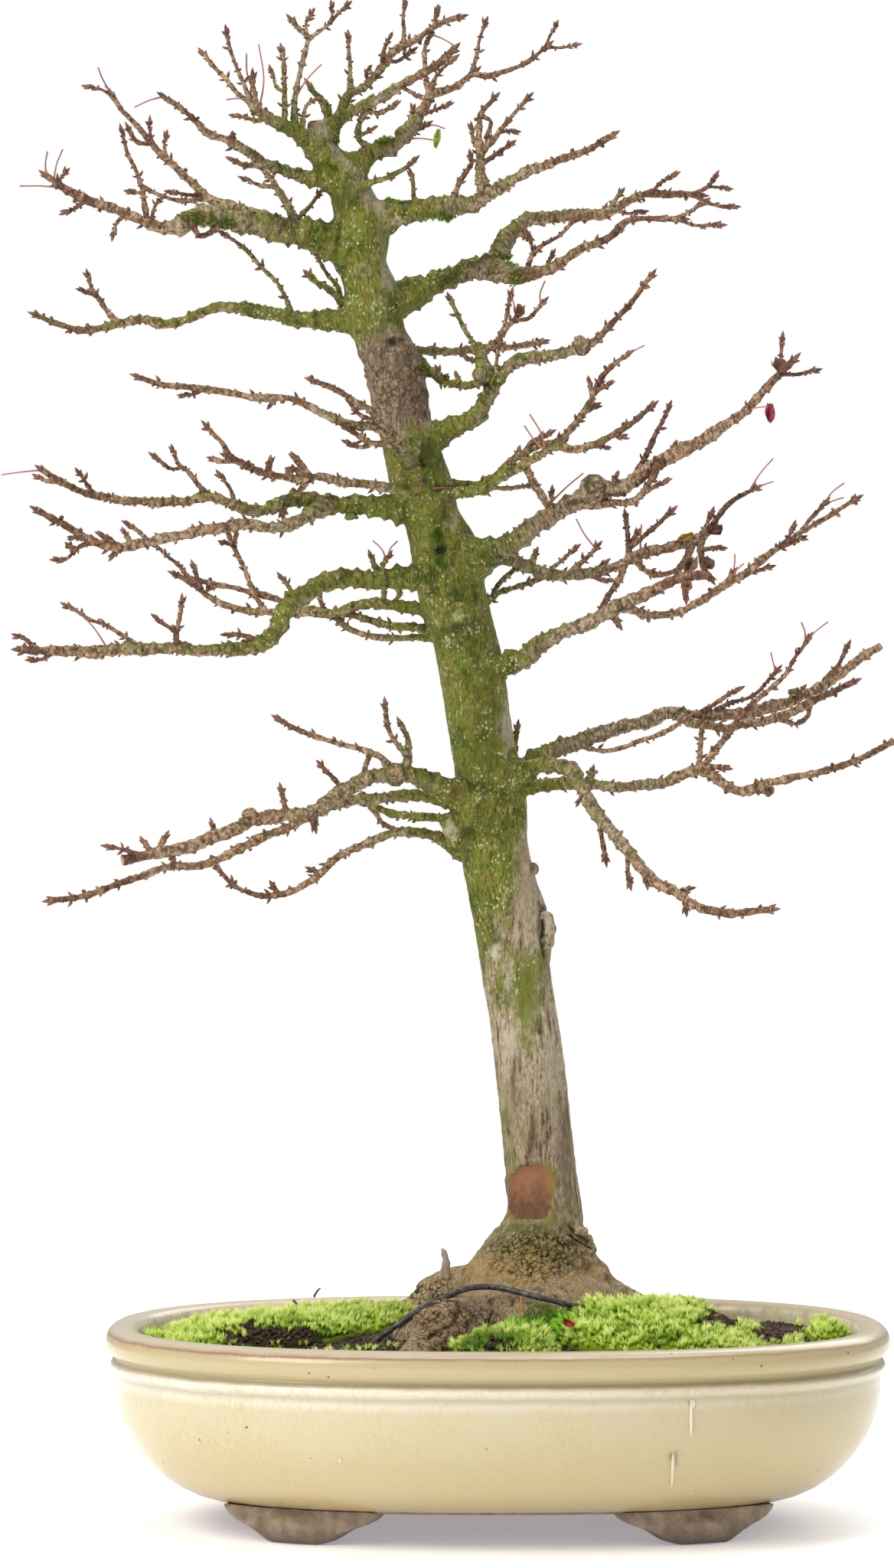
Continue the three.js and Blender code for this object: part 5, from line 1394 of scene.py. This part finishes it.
for order, line in enumerate(SCRAPS.strip().splitlines()):
    limb_name, spot, tint = line.split()
    [[u, v, wide, tall]] = spots(spot)
    start, radius = nearest(spines[limb_name], u, v)
    centre = seen(u, v, start.y - 1.5)
    if tall < 9:
        centre = start + (centre - start) * min(1, (radius + 0.15 * tall) / (centre - start).length)
    hang_scrap(f"leaf_scrap_{order + 1}", centre, wide, tall, tint, order)
hang_scrap("leaf_scrap_on_moss", seen(743, 1729, -74), 3.4, 5.2, "A8402E", 1.2)

# %% [markdown]
# The pot is thrown or pressed as one oval shell. Its section is drawn once, spun into a round
# shell with many more steps than the plain model has, and then pressed into the oval.

# %% Pot section, spun and pressed oval
RIM_HALF_LENGTH = 175
RIM_HALF_DEPTH = 135
BASE_HALF_LENGTH = 125
BASE_HALF_DEPTH = 75
OVAL_POWER = 2.4
INNER_RIM = 160
SECTION = spots("""
0,12 40,12 80,12 119,12 125,12.6 137,14.6 150,22.5 160.5,34 168.3,47 171,62 170.4,68 171.2,69.3 172.4,70.4
172.9,71.8 172.2,73.3 170.2,74.4 170.4,75.6 172.6,77 174.6,79.5 175,82.5 174,86 171,88.3 167,88.7 163,88.3
160.6,86.5 160,82 160,76 157.5,60 152,42 143,30 128,21.5 116,20 80,20 40,20 0,20
""")


def half_depth(half_length):
    if half_length < BASE_HALF_LENGTH:
        return half_length * BASE_HALF_DEPTH / BASE_HALF_LENGTH
    rise = (RIM_HALF_DEPTH - BASE_HALF_DEPTH) / (RIM_HALF_LENGTH - BASE_HALF_LENGTH)
    return BASE_HALF_DEPTH + (half_length - BASE_HALF_LENGTH) * rise


def oval_reach(x, y, half_x, half_y):
    """Below 1 inside an oval of those half lengths."""
    return abs(x / half_x) ** OVAL_POWER + abs(y / half_y) ** OVAL_POWER


def press_oval(place):
    length = math.hypot(place.x, place.y)
    if length < 0.01:
        return place
    angle = math.atan2(place.y, place.x)
    reach = [math.copysign(abs(c) ** (2 / OVAL_POWER), c) for c in (math.cos(angle), math.sin(angle))]
    return Vector((length * reach[0], half_depth(length) * reach[1], place.z))


def edit_whole(obj, step, **settings):
    """One edit-mode step on the whole mesh, whose faces are then welded and turned outwards."""
    only(obj)
    bpy.ops.object.mode_set(mode="EDIT")
    bpy.ops.mesh.select_all(action="SELECT")
    step(**settings)
    bpy.ops.mesh.select_all(action="SELECT")
    bpy.ops.mesh.remove_doubles(threshold=0.00002)
    bpy.ops.mesh.normals_make_consistent(inside=False)
    bpy.ops.object.mode_set(mode="OBJECT")


section = bpy.data.meshes.new("glazed_pot")
section.from_pydata([metres((r, 0, z)) for r, z in SECTION], [(i, i + 1) for i in range(len(SECTION) - 1)], [])
pot = new_object("glazed_pot", section)
edit_whole(pot, bpy.ops.mesh.spin, steps=96, angle=math.tau, center=(SHIFT * MM, 0, 0), axis=(0, 0, 1))
reshape(pot, press_oval)
apply_modifier(pot, "SUBSURF", levels=1, render_levels=1)
print("pot shell", len(pot.data.polygons), "faces")

# %% Drainage and wire holes
HOLES = [(-72, 0, 15), (72, 0, 15), (-35, -35, 4.6), (35, -35, 4.6), (-35, 35, 4.6), (35, 35, 4.6)]
for x, y, radius in HOLES:
    deselect()
    bpy.ops.mesh.primitive_cylinder_add(vertices=40, radius=radius * MM, depth=0.03,
                                        location=metres((x, y, 15)))
    cutter = bpy.context.object
    apply_modifier(pot, "BOOLEAN", object=cutter, operation="DIFFERENCE", solver="MANIFOLD")
    bpy.data.objects.remove(cutter)
print("holes cut, pot has", len(pot.data.polygons), "faces")

# %% [markdown]
# The four feet are cloud-shaped slabs of bare clay. Half of one outline is enough: it is mirrored,
# extruded to the slab's thickness, rounded by a voxel remesh and smoothing, and bent to follow the oval.

# %% Feet
FOOT_HALF = spots("0,0 11,0 13.5,0.4 16,1.6 18.5,3.2 21,4.9 24,6.4 27,7.5 30,8.6 33,10.2 35.4,12.4 36.5,15")
foot_outline = FOOT_HALF + [(-x, z) for x, z in FOOT_HALF[:0:-1]]
feet = []
for side in (-1, 1):
    for end in (-1, 1):
        mesh = bpy.data.meshes.new("foot")
        mesh.from_pydata([(x, 0, z) for x, z in foot_outline], [], [list(range(len(foot_outline)))])
        foot = new_object("foot", mesh)
        edit_whole(foot, bpy.ops.mesh.extrude_region_move, TRANSFORM_OT_translate={"value": (0, -15, 0)})
        for vertex in foot.data.vertices:
            vertex.co *= MM
        apply_modifier(foot, "REMESH", mode="VOXEL", voxel_size=MM)
        apply_modifier(foot, "SMOOTH", factor=0.5, iterations=8)
        turn = -0.42 if side * end > 0 else 0.42
        turn = Matrix.Rotation(turn if side < 0 else math.pi + turn, 3, "Z")
        for vertex in foot.data.vertices:
            place = vertex.co / MM
            front = clamp(-place.y / 10 - 0.3)
            boss = bell(place.x, 9) - 0.5 * bell(abs(place.x) - 15, 4)
            place.y -= 4.6 * front * boss * min(1, place.z / 4) * clamp((14 - place.z) / 4)
            place.y += place.x * place.x / 300
            vertex.co = metres(turn @ place + Vector((end * 83, side * 60, 0)))
        feet.append(foot)
pot = join([pot, *feet], "glazed_pot")
print("pot with feet", len(pot.data.polygons), "faces")

# %% [markdown]
# The glaze is a thick cream stoneware glaze: glossy, finely mottled, thin and pink-brown on the
# lip's edges, with a few iron specks and two runs. Its bead carries a white painted highlight, with
# grey painted shade just under it and in the groove above it, and the whole glaze is painted
# darker towards the right, as painted shade on the side away from the key light. The feet and the
# underside stayed bare, brown-grey clay, painted darker at the very bottom as painted shade. Height
# picks the glaze's tone.

# %% Glaze and bare clay
glaze, place = new_material("Cream stoneware glaze, glossy and mottled")
z = add(glaze, "SeparateXYZ", "Z", {"Vector": place})
level = swayed(glaze, z, 0.0016, waves(place, 18))
level = add(glaze, "MapRange", "Result", {"Value": level, "From Min": 0.0, "From Max": 0.09})
# Height picks the tone: brown at the foot of the glaze, the cream belly, grey painted shade just under the bead, a
# white painted highlight on the bead, grey painted shade in the groove above it and a thin pink-brown line on the
# lip.
tone = add(glaze, "ValToRGB", 0, {"Fac": level}, [
    (0.16, "9A8260"), (0.185, "BCA87C"), (0.3, "CEBE92"), (0.6, "D0C5A0"), (0.7, "D0C6A6"), (0.735, "E2DAC4"),
    (0.765, "C2BAA6"), (0.785, "E6DFCA"), (0.812, "ECE6D4"), (0.83, "9C9278"), (0.85, "C6BA92"), (0.93, "C0B28A"),
    (0.955, "B6A47E"), (0.964, "8C6A56"), (0.972, "B4A088"), (0.984, "C6B8A0"),
])
flecks = add(glaze, "Mapping", 0, {"Vector": place, "Scale": (1, 1, 0.5)})
flecks = add(glaze, "TexNoise", "Fac", waves(flecks, 1.8, 6.0, 0.75))
flecks = add(glaze, "ValToRGB", 0, {"Fac": flecks}, [(0.45, "000000"), (0.62, (0.75, 0.75, 0.75, 1))])
tone = over(glaze, patches(glaze, place, 30, 0.3, 0.75), tone, over(glaze, flecks, tone, "C9B078"))
# The glaze is painted darker towards the right: painted shade on the side away from the key light.
tone = over(glaze, z.node.outputs["X"], tone, "AA9A70", -0.06, 0.13, 0.5)
tone = over(glaze, cell_marks(glaze, place, 13, 0.035, 0.06), tone, "7A5A3C")
inside = add(glaze, "Attribute", "Fac", {}, attribute_name="inside")
tone = over(glaze, inside, tone, over(glaze, patches(glaze, place, 12, 0.48, 0.74), "DCD0B0", "9C8A70"))
finish_with(glaze, tone, 0.24, IOR=1.52, Normal=fine_relief(glaze, waves(place, 7), 0.5, 0.35))

clay, place = new_material("Bare stoneware clay, brown-grey and sandy")
z = add(clay, "SeparateXYZ", "Z", {"Vector": place})
tone = over(clay, patches(clay, place, 6, 0.35, 0.65), "7A6A5A", "A08E78")
# The clay is painted darker in its lowest 7 mm: painted shade near the floor.
tone = over(clay, z, "62544A", tone, 0.0, 0.007)
finish_with(clay, tone, 0.8, Normal=fine_relief(clay, waves(place, 0.8, 4.0), 0.4, 0.6))

finish_piece(pot, glaze, ["pot"])
pot.data.materials.append(clay)
inner = []
for vertex in pot.data.vertices:
    x, y, z = in_mm(vertex.co)
    wall = float(np.interp(z, [20, 21.5, 30, 42, 57.5, 76, 86], [116, 128, 143, 152, 157.5, 160, 160])) + 1.2
    inner.append(1.0 if oval_reach(x, y, wall, half_depth(wall)) < 1 and 19 < z < 86.4 else 0.0)
write_values(pot, "inside", inner)
FOOT_TOP = 0.0152
for face in pot.data.polygons:
    if face.center.z < FOOT_TOP:
        face.material_index = 1
only(pot)
bpy.ops.object.shade_smooth_by_angle(angle=math.radians(40))

# %% Runs and grey marks in the glaze
def glaze_marks(name, tint, marks):
    """Long thin drops that lie on the wall: x, lowest and highest place, width."""
    drops = []
    for x, z_low, z_high, width in spots(marks):
        middle = (z_low + z_high) / 2
        length = float(np.interp(middle, [22.5, 34, 47, 62, 68], [150, 160.5, 168.3, 171, 170.4]))
        y = -half_depth(length) * (1 - abs(x / length) ** OVAL_POWER) ** (1 / OVAL_POWER)
        slope = float(np.interp(middle, [30, 45, 62], [0.75, 0.5, 0.05]))
        deselect()
        bpy.ops.mesh.primitive_uv_sphere_add(segments=12, ring_count=10, radius=MM, rotation=(slope * 1.1, 0, 0),
                                             location=metres((x, y + 0.1, middle)),
                                             scale=(width, 0.4, (z_high - z_low) / 2))
        settle(bpy.context.object)
        drops.append(bpy.context.object)
    piece = join(drops, name)
    finish = plain("Pooled glaze, " + name.replace("_", " "), tint, 0.24, IOR=1.52)
    finish_piece(piece, finish)


glaze_marks("milky_runs", "E0D6B8", "81,52,68,0.7 81.6,64,68,1.3 73.4,26,47,0.7 -68,40,43,0.7")
glaze_marks("grey_run_edges", "ABA38C",
            "79.9,65,67.6,0.3 82.9,64,67,0.3 72.2,41,45,0.3 75.2,37,47,0.35 81,67.6,69,1.4")

# %% [markdown]
# The soil's own surface is right in the plain model. It gets a dark crumbly finish, and thousands
# of loose crumbs lie on it wherever no moss grows.

# %% The ground's height
SOIL_EDGE = 78
SOIL_MOUND = 16
ROOT_OVALS = spots("15,0,52,42 -19,-42,27,19 -31,-70,15,19")
MOSS = {
    "moss_left": (-98, 4, 58, 56, 8), "moss_front": (4, -84, 22, 25, 9), "moss_right": (79, -44, 56, 48, 12),
    "moss_tuft": (146, -14, 9, 15, 8), "moss_back": (22, 74, 72, 30, 7),
}


def soil_height(x, y):
    mound = SOIL_MOUND * math.exp(-(((x - 15) / 75) ** 2 + (y / 55) ** 2) / 2)
    return SOIL_EDGE + mound + 0.5 * math.sin(x / 9) * math.cos(y / 11)


def in_pot(x, y, margin):
    return oval_reach(x, y, INNER_RIM - margin, half_depth(INNER_RIM) - margin) < 1


def in_root(x, y):
    return nearest_oval(x, y, ROOT_OVALS) < 1


def ragged_edge(pad, turn):
    return 1 + 0.08 * math.sin(3 * turn + pad[0]) + 0.05 * math.sin(7 * turn + pad[1])


def cushion_height(pad, x, y):
    """Height of a cushion's top over the soil, or none outside it."""
    x0, y0, half_x, half_y, thick = pad
    edge = ragged_edge(pad, math.atan2((y - y0) / half_y, (x - x0) / half_x))
    reach = math.hypot((x - x0) / (half_x * edge), (y - y0) / (half_y * edge))
    if reach >= 1:
        return None
    bumps = 1 + 0.16 * math.sin(x / 5 + y0) * math.cos(y / 6) + 0.1 * math.sin((x + y) / 11)
    fall = 1 - 0.55 * clamp((x - 84) / 22) if pad is MOSS["moss_right"] else 1
    return thick * bumps * fall * (1 - reach * reach) ** 0.35


print("soil by the rim", round(soil_height(150, 0), 1), "mm, by the trunk", round(soil_height(15, 0), 1), "mm")

# %% Crumbs of soil
BARE = spots("352,1746,64,15 948,1722,38,12 1015,1740,32,17 648,1756,12,8")


def is_bare(place):
    u, v = in_view(place)
    ragged = 1 + 0.75 * noise.noise(place * 0.13) + 0.5 * noise.noise(place * 0.35)
    return nearest_oval(u, v, BARE) < ragged


def crumb_shape(place):
    return place * (1 + 0.35 * noise.noise(place * 1.7)) * 0.9


crumb = small_form("crumb", crumb_shape, 6, 4)
CRUMBS = 4600
crumb_places = []
while len(crumb_places) < CRUMBS:
    x, y = random.uniform(-158, 158), random.uniform(-116, 116)
    rise = max(cushion_height(pad, x, y) or 0 for pad in MOSS.values())
    bare = is_bare(Vector((x, y, soil_height(x, y) + rise)))
    if not in_pot(x, y, 2.5) or in_root(x, y) or (rise and not bare and random.random() < 0.9):
        continue
    if not bare and random.random() < 0.5:
        continue
    size = random.uniform(0.5, 1.5) * (1.5 if random.random() < 0.08 else 1)
    turn = Matrix.Rotation(random.random() * 6, 4, Vector((random.random(), random.random(), 0.3)))
    flat = Matrix.Diagonal((size, size * random.uniform(0.6, 1), size * 0.7, 1))
    crumb_places.append(Matrix.Translation((x, y, soil_height(x, y) + rise + size * 0.1)) @ turn @ flat)
soil_crumbs = scatter(crumb, crumb_places, "soil_crumbs")
crumbly, place = new_material("Potting soil, dark and crumbly")
tone = over(crumbly, patches(crumbly, place, 4, 0.4, 0.62), "2B1F18", "5A4636")
finish_with(crumbly, tone, 0.95, Normal=fine_relief(crumbly, waves(place, 1.4, 6.0), 1.4, 1.0))
finish_piece(soil_crumbs, crumbly)
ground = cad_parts["soil"]
ground.data.materials.clear()
ground.data.materials.append(crumbly)

# %% [markdown]
# Moss is a crowd of tiny upright shoots. One tuft of leaning leaves is modelled and copied close
# together over each cushion, and more thinly over the soil round it. Its colour runs from dark at
# the foot of a shoot to yellow-green at its tip, partly the old stems' own colour and partly painted
# shade deep in the cushion, and drifts from patch to patch. In the hollow in front of the root it is
# painted darker still, as painted shade.

# %% One tuft of moss
def moss_tuft_form():
    leaves = []
    deselect()
    for i in range(6):
        bpy.ops.mesh.primitive_cone_add(vertices=3, radius1=0.44, radius2=0, depth=4.0, end_fill_type="NOTHING",
                                        location=(0, 0, 1.5))
        leaf = bpy.context.object
        lean = 0.1 + 0.4 * (i % 3) / 2
        around = Matrix.Rotation(i * math.tau / 6, 4, "Z") @ Matrix.Rotation(lean, 4, "X")
        for vertex in leaf.data.vertices:
            vertex.co = around @ (Vector(vertex.co) + Vector((0, 0, 1.5)))
        leaf.location = (0, 0, 0)
        leaves.append(leaf)
    return join(leaves, "tuft")


def tufts_on(name, pad, height_of, spacing, reach):
    """Places tufts on a jittered grid over a pad, standing a little outwards."""
    x0, y0, half_x, half_y, thick = pad
    places = []
    x = x0 - half_x * reach
    while x < x0 + half_x * reach:
        y = y0 - half_y * reach
        while y < y0 + half_y * reach:
            px, py = x + random.uniform(-0.6, 0.6) * spacing, y + random.uniform(-0.6, 0.6) * spacing
            top = height_of(px, py)
            y += spacing
            if top is None or not in_pot(px, py, 1.6) or in_root(px, py) or is_bare(Vector((px, py, top))):
                continue
            clump = 0.5 + noise.noise(Vector((px + SHIFT, py, 0)) * 0.28)
            top += 2.6 * (clump - 0.5)
            out = Vector(((px - x0) / half_x, (py - y0) / half_y, 1.3)).normalized()
            out += Vector((random.uniform(-0.25, 0.25), random.uniform(-0.25, 0.25), 0))
            places.append(along(Vector((px, py, top - 0.5)), out.normalized(), random.random() * 6,
                                random.uniform(0.7, 1.1) * (0.75 + 0.5 * clump)))
        x += spacing
    print(name, len(places), "tufts")
    return places


def top_of(pad):
    def height(x, y):
        rise = cushion_height(pad, x, y)
        return None if rise is None else soil_height(x, y) + rise
    return height


green_moss, place = new_material("Cushion moss, soft and leafy")
shoot = add(green_moss, "Attribute", "Fac", {}, attribute_name="tip")
# The foot of a shoot is dark: partly the old stems' own colour, partly painted shade deep in the cushion.
bright = add(green_moss, "ValToRGB", 0, {"Fac": shoot}, [(0.0, "34500C"), (0.32, "A8C836"), (0.8, "F4FCA0")])
shady = add(green_moss, "ValToRGB", 0, {"Fac": shoot}, [(0.0, "22380A"), (0.45, "80A42C"), (1.0, "D8E874")])
tone = over(green_moss, patches(green_moss, place, 14, 0.48, 0.64), bright, shady)
# Round (-4, -92, 90), in the hollow in front of the root, the moss is painted darker: painted shade. Round (17,
# -58, 98) it is a fresher green.
for spot, reach_mm, foot_tint, tip_tint in (((-4, -92, 90), 17, "141E08", "6A8A30"),
                                            ((17, -58, 98), 20, "204C08", "8CC832")):
    away = add(green_moss, "VectorMath", "Value", {0: place, 1: metres(spot)}, operation="DISTANCE")
    local = add(green_moss, "ValToRGB", 0, {"Fac": shoot}, [(0.05, foot_tint), (0.6, tip_tint)])
    tone = over(green_moss, away, tone, local, reach_mm * MM, 0.6 * reach_mm * MM)
earthy = add(green_moss, "Math", 0, {0: shoot, 1: -0.5}, operation="LESS_THAN")
tone = over(green_moss, earthy, tone, "33261C")
finish_with(green_moss, tone, 0.85, Specular_IOR_Level=0.1)
print("moss green made")

# %% Cushions with their tufts
def grow_tufts(name, places):
    """A tuft at every place. Each vertex keeps how far up its tuft it is, for the colour."""
    tufts = scatter(moss_tuft_form(), places, name)
    corners = [vertex.co for vertex in tufts.data.vertices]
    each = len(corners) // len(places)
    tips = []
    for start in range(0, len(corners), each):
        group = [corner.z for corner in corners[start:start + each]]
        low, high = min(group), max(group)
        foot = corners[start] / MM
        share = random.uniform(0.6, 0.95) + 0.7 * noise.noise(Vector((foot.x, foot.y, 0)) * 0.28)
        share = min(1, max(0.3, share))
        tips.extend([share * (z - low) / max(high - low, 1e-6) for z in group])
    write_values(tufts, "tip", tips)
    return tufts


def cushion_body(name, pad):
    x0, y0, half_x, half_y, thick = pad

    def rule(place):
        edge = ragged_edge(pad, math.atan2(place.y, place.x))
        x, y = x0 + half_x * edge * place.x * 0.99, y0 + half_y * edge * place.y * 0.99
        reach = oval_reach(x, y, 158.6, half_depth(INNER_RIM) - 1.6) ** (1 / OVAL_POWER)
        x, y = x / max(1, reach), y / max(1, reach)
        rise = (cushion_height(pad, x, y) or 0) - 0.8 if place.z > 0 else 2.8 * place.z
        return metres((x, y, soil_height(x, y) + rise))

    body = small_form(name + "_body", rule, 48, 24)
    write_values(body, "tip", [-1.0 if is_bare(in_mm(vertex.co)) else 0.15 for vertex in body.data.vertices])
    return body


TUFT_GAP = 1.75
for name, pad in MOSS.items():
    tufts = grow_tufts(name + "_tufts", tufts_on(name, pad, top_of(pad), TUFT_GAP, 1.1))
    cushion = join([cushion_body(name, pad), tufts], name + "_cushion")
    finish_piece(cushion, green_moss, [name])

# %% Stray moss on the soil between the cushions
def stray_height(x, y):
    return soil_height(x, y) if noise.noise(Vector((x, y, 0)) * 0.06) > -0.05 else None


STRAY_GAP = 2.7
stray_places = []
for pad in spots("-62,-84,18,26,1 112,-62,30,24,1 -70,78,40,20,1 100,50,40,30,1"):
    stray_places.extend(tufts_on("strays", pad, stray_height, STRAY_GAP, 1.0))
strays = grow_tufts("moss_strays", stray_places)
finish_piece(strays, green_moss)

# %% [markdown]
# The tie-down wire comes up through the pot's floor, lies over the roots and goes down again. It
# is one soft aluminium wire, dark brown-black, drawn as a curve along the plain model's wire.

# %% Tie wire
WIRE_RADIUS = 1.35
UNDER = 12 - WIRE_RADIUS - 1
WIRE_HOLE_DEPTH = -35
WIRE_END = [(11, UNDER), (21, UNDER), (29, UNDER), (33.5, 12), (35, 17), (35, 24)]
OVER_ROOTS = spots("""
478,1772,-46 487,1754,-47 507,1739,-49 536,1719,-50 565,1702,-47 593,1689,-44 616,1682,-40 645,1681,-38
674,1687,-41 697,1693,-44 720,1698,-45 745,1704,-44 769,1709,-41 789,1716,-38
""")
wire_route = [
    *(Vector((-x, WIRE_HOLE_DEPTH, z)) for x, z in WIRE_END), Vector((-41, -38, 50)),
    *(seen(*spot) for spot in OVER_ROOTS), Vector((49, -37, 78)), Vector((43, -37, 50)),
    *(Vector((x, WIRE_HOLE_DEPTH, z)) for x, z in reversed(WIRE_END)),
]
tie_wire = hairs("tie_wire_round", [wire_route], (WIRE_RADIUS, WIRE_RADIUS), 5)
dark_wire = mottled("Anodised aluminium wire, dark brown-black", 2.5, 0.45, 0.65, "37373B", "6A6460", 0.45,
                    Metallic=0.3)
finish_piece(tie_wire, dark_wire, ["tie_wire"])

# %% Screens over the drainage holes
screen_plastic = plain("Polyethylene mesh, black and matt", "262626", 0.6)
for node in ("drainage_screen_left", "drainage_screen_right"):
    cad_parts[node].data.materials.clear()
    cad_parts[node].data.materials.append(screen_plastic)
print("screens painted")

# %% Moss that clings to limbs and trunk
CLINGING = spots("""
567,283,-10,24,6 590,290,-12,12,5 262,286,-8,26,9 297,291,-8,12,7 505,184,-12,11,7 428,222,-14,14,7
545,600,-17,10,8 571,700,-17,6,14 548,484,0,6,6 598,1035,-18,8,8 640,1752,-60,12,10 702,1716,-40,20,14
738,1712,-36,26,10 768,1716,-34,16,7 516,262,-10,8,7 672,365,0,8,9 668,340,0,10,7
""")
wood_spots = [spot for stick in thick_sticks for spot in stick]
wood_finder = KDTree(len(wood_spots))
for order, (place, radius) in enumerate(wood_spots):
    wood_finder.insert((*in_view(place), 0), order)
wood_finder.balance()


def on_bark(u, v, depth):
    """The place on the trunk or nearest limb that is seen at u, v, and the way out of the wood."""
    middle = seen(u, v, depth)
    x, y, thick = trunk_at(middle.z)
    if abs(middle.x - x) < thick:
        aside = middle.x - x
        middle.y = y - math.sqrt(thick * thick - aside * aside)
        return middle, Vector((aside, -thick, 0))
    place, radius = wood_spots[wood_finder.find((u, v, 0))[1]]
    away = seen(u, v, place.y) - place
    away *= min(1, radius / max(away.length, 0.01))
    away.y = -math.sqrt(max(0, radius * radius - away.length_squared))
    return place + away, away


cling_places = []
for u0, v0, depth, half_u, half_v in CLINGING:
    for _ in range(int(half_u * half_v / 1.4)):
        turn, reach = random.random() * math.tau, math.sqrt(random.random())
        start, out = on_bark(u0 + half_u * reach * math.cos(turn), v0 + half_v * reach * math.sin(turn), depth)
        cling_places.append(along(start, (out.normalized() + Vector((0, 0, -0.2))).normalized(), turn,
                                  random.uniform(0.3, 0.6)))
clinging = scatter(moss_tuft_form(), cling_places, "clinging_moss")
write_values(clinging, "tip", [(0.8 if vertex.co.z < 130 * MM else 0.3) * random.random()
                               for vertex in clinging.data.vertices])
finish_piece(clinging, green_moss)

# %% Twig bits and a needle on the moss
bits = []
for u, v, du, dv, depth in spots("410,1694,9,-12,40 404,1705,16,4,40 383,1698,8,12,38 930,1722,14,-5,-30 "
                                 "1000,1741,12,4,-40 330,1745,14,-4,-20"):
    start, end = seen(u, v, depth), seen(u + du, v + dv, depth)
    bits.append([start, start.lerp(end, 0.5) + Vector((0, 0, 0.6)), end])
fallen_twigs = hairs("fallen_twigs", bits, (0.8, 0.6, 0.4), 1)
finish_piece(fallen_twigs, twig_bark)
needle_route = [seen(*spot) for spot in spots("681,1693,-52 680,1710,-53 678,1728,-54")]
needle = hairs("pine_needle", [needle_route], (0.45, 0.35), 1)
needle_finish = plain("Dry pine needle, orange", "C08A3A", 0.6)
finish_piece(needle, needle_finish)

# %% [markdown]
# The photograph was taken level, from the front, a little left of the pot's middle. The stage is
# a plain pale light table in a white room, with soft light from above and all sides.

# %% Camera
camera_data = bpy.data.cameras.new("Camera")
PHOTO_HEIGHT = 2048
camera_data.sensor_width = 36
camera_data.lens = EYE_DISTANCE / PIXEL * camera_data.sensor_width / PHOTO_HEIGHT
camera_data.clip_end = 50
camera = new_object("Camera", camera_data)
camera.location = metres((EYE_X, -EYE_DISTANCE, EYE_Z))
camera.rotation_euler = (math.radians(90), 0, 0)
bpy.context.scene.camera = camera
print("lens", round(camera_data.lens, 1), "mm")

# %% Floor and light
acrylic = plain("Pale matt acrylic, lit softly from below", "F6F6F4", 0.9, Emission_Color="F2F0FA",
                Emission_Strength=0.3)
bpy.ops.mesh.primitive_plane_add(size=4.4, location=(0, 0, -0.0002))
floor = bpy.context.object
floor.name = "floor"
floor.data.materials.append(acrylic)
LIGHTS = [
    ("key_light", (-2.0, -1.9, 2.5), 1.8, 84, "FFFAF4"),
    ("fill_light", (2.0, -1.6, 1.6), 1.8, 3, "F4F7FF"),
    ("top_light", (0.2, 0.4, 2.8), 1.6, 34, "FFFFFF"),
    ("rear_light", (1.2, 2.3, 2.0), 1.8, 30, "FFFFFF"),
]
for name, place, size, power, tint in LIGHTS:
    data = bpy.data.lights.new(name, "AREA")
    data.size = size
    data.energy = power
    data.color = colour(tint)[:3]
    lamp = new_object(name, data)
    lamp.location = place
    lamp.rotation_euler = (Vector((0, 0, 0.3)) - Vector(place)).to_track_quat("-Z", "Y").to_euler()
world = bpy.data.worlds.new("Soft white room")
world.use_nodes = True
world.node_tree.nodes.clear()
soft = add(world, "Background", 0, {"Color": "F2F4F7", "Strength": 0.56})
white = add(world, "Background", 0, {"Color": "FFFFFF", "Strength": 1.0})
seen_by_camera = add(world, "LightPath", "Is Camera Ray", {})
room = add(world, "MixShader", 0, {0: seen_by_camera, 1: soft, 2: white})
add(world, "OutputWorld", 0, {"Surface": room})
bpy.context.scene.world = world
bpy.context.scene.view_settings.view_transform = "Standard"
print(len(LIGHTS), "lights and a floor")
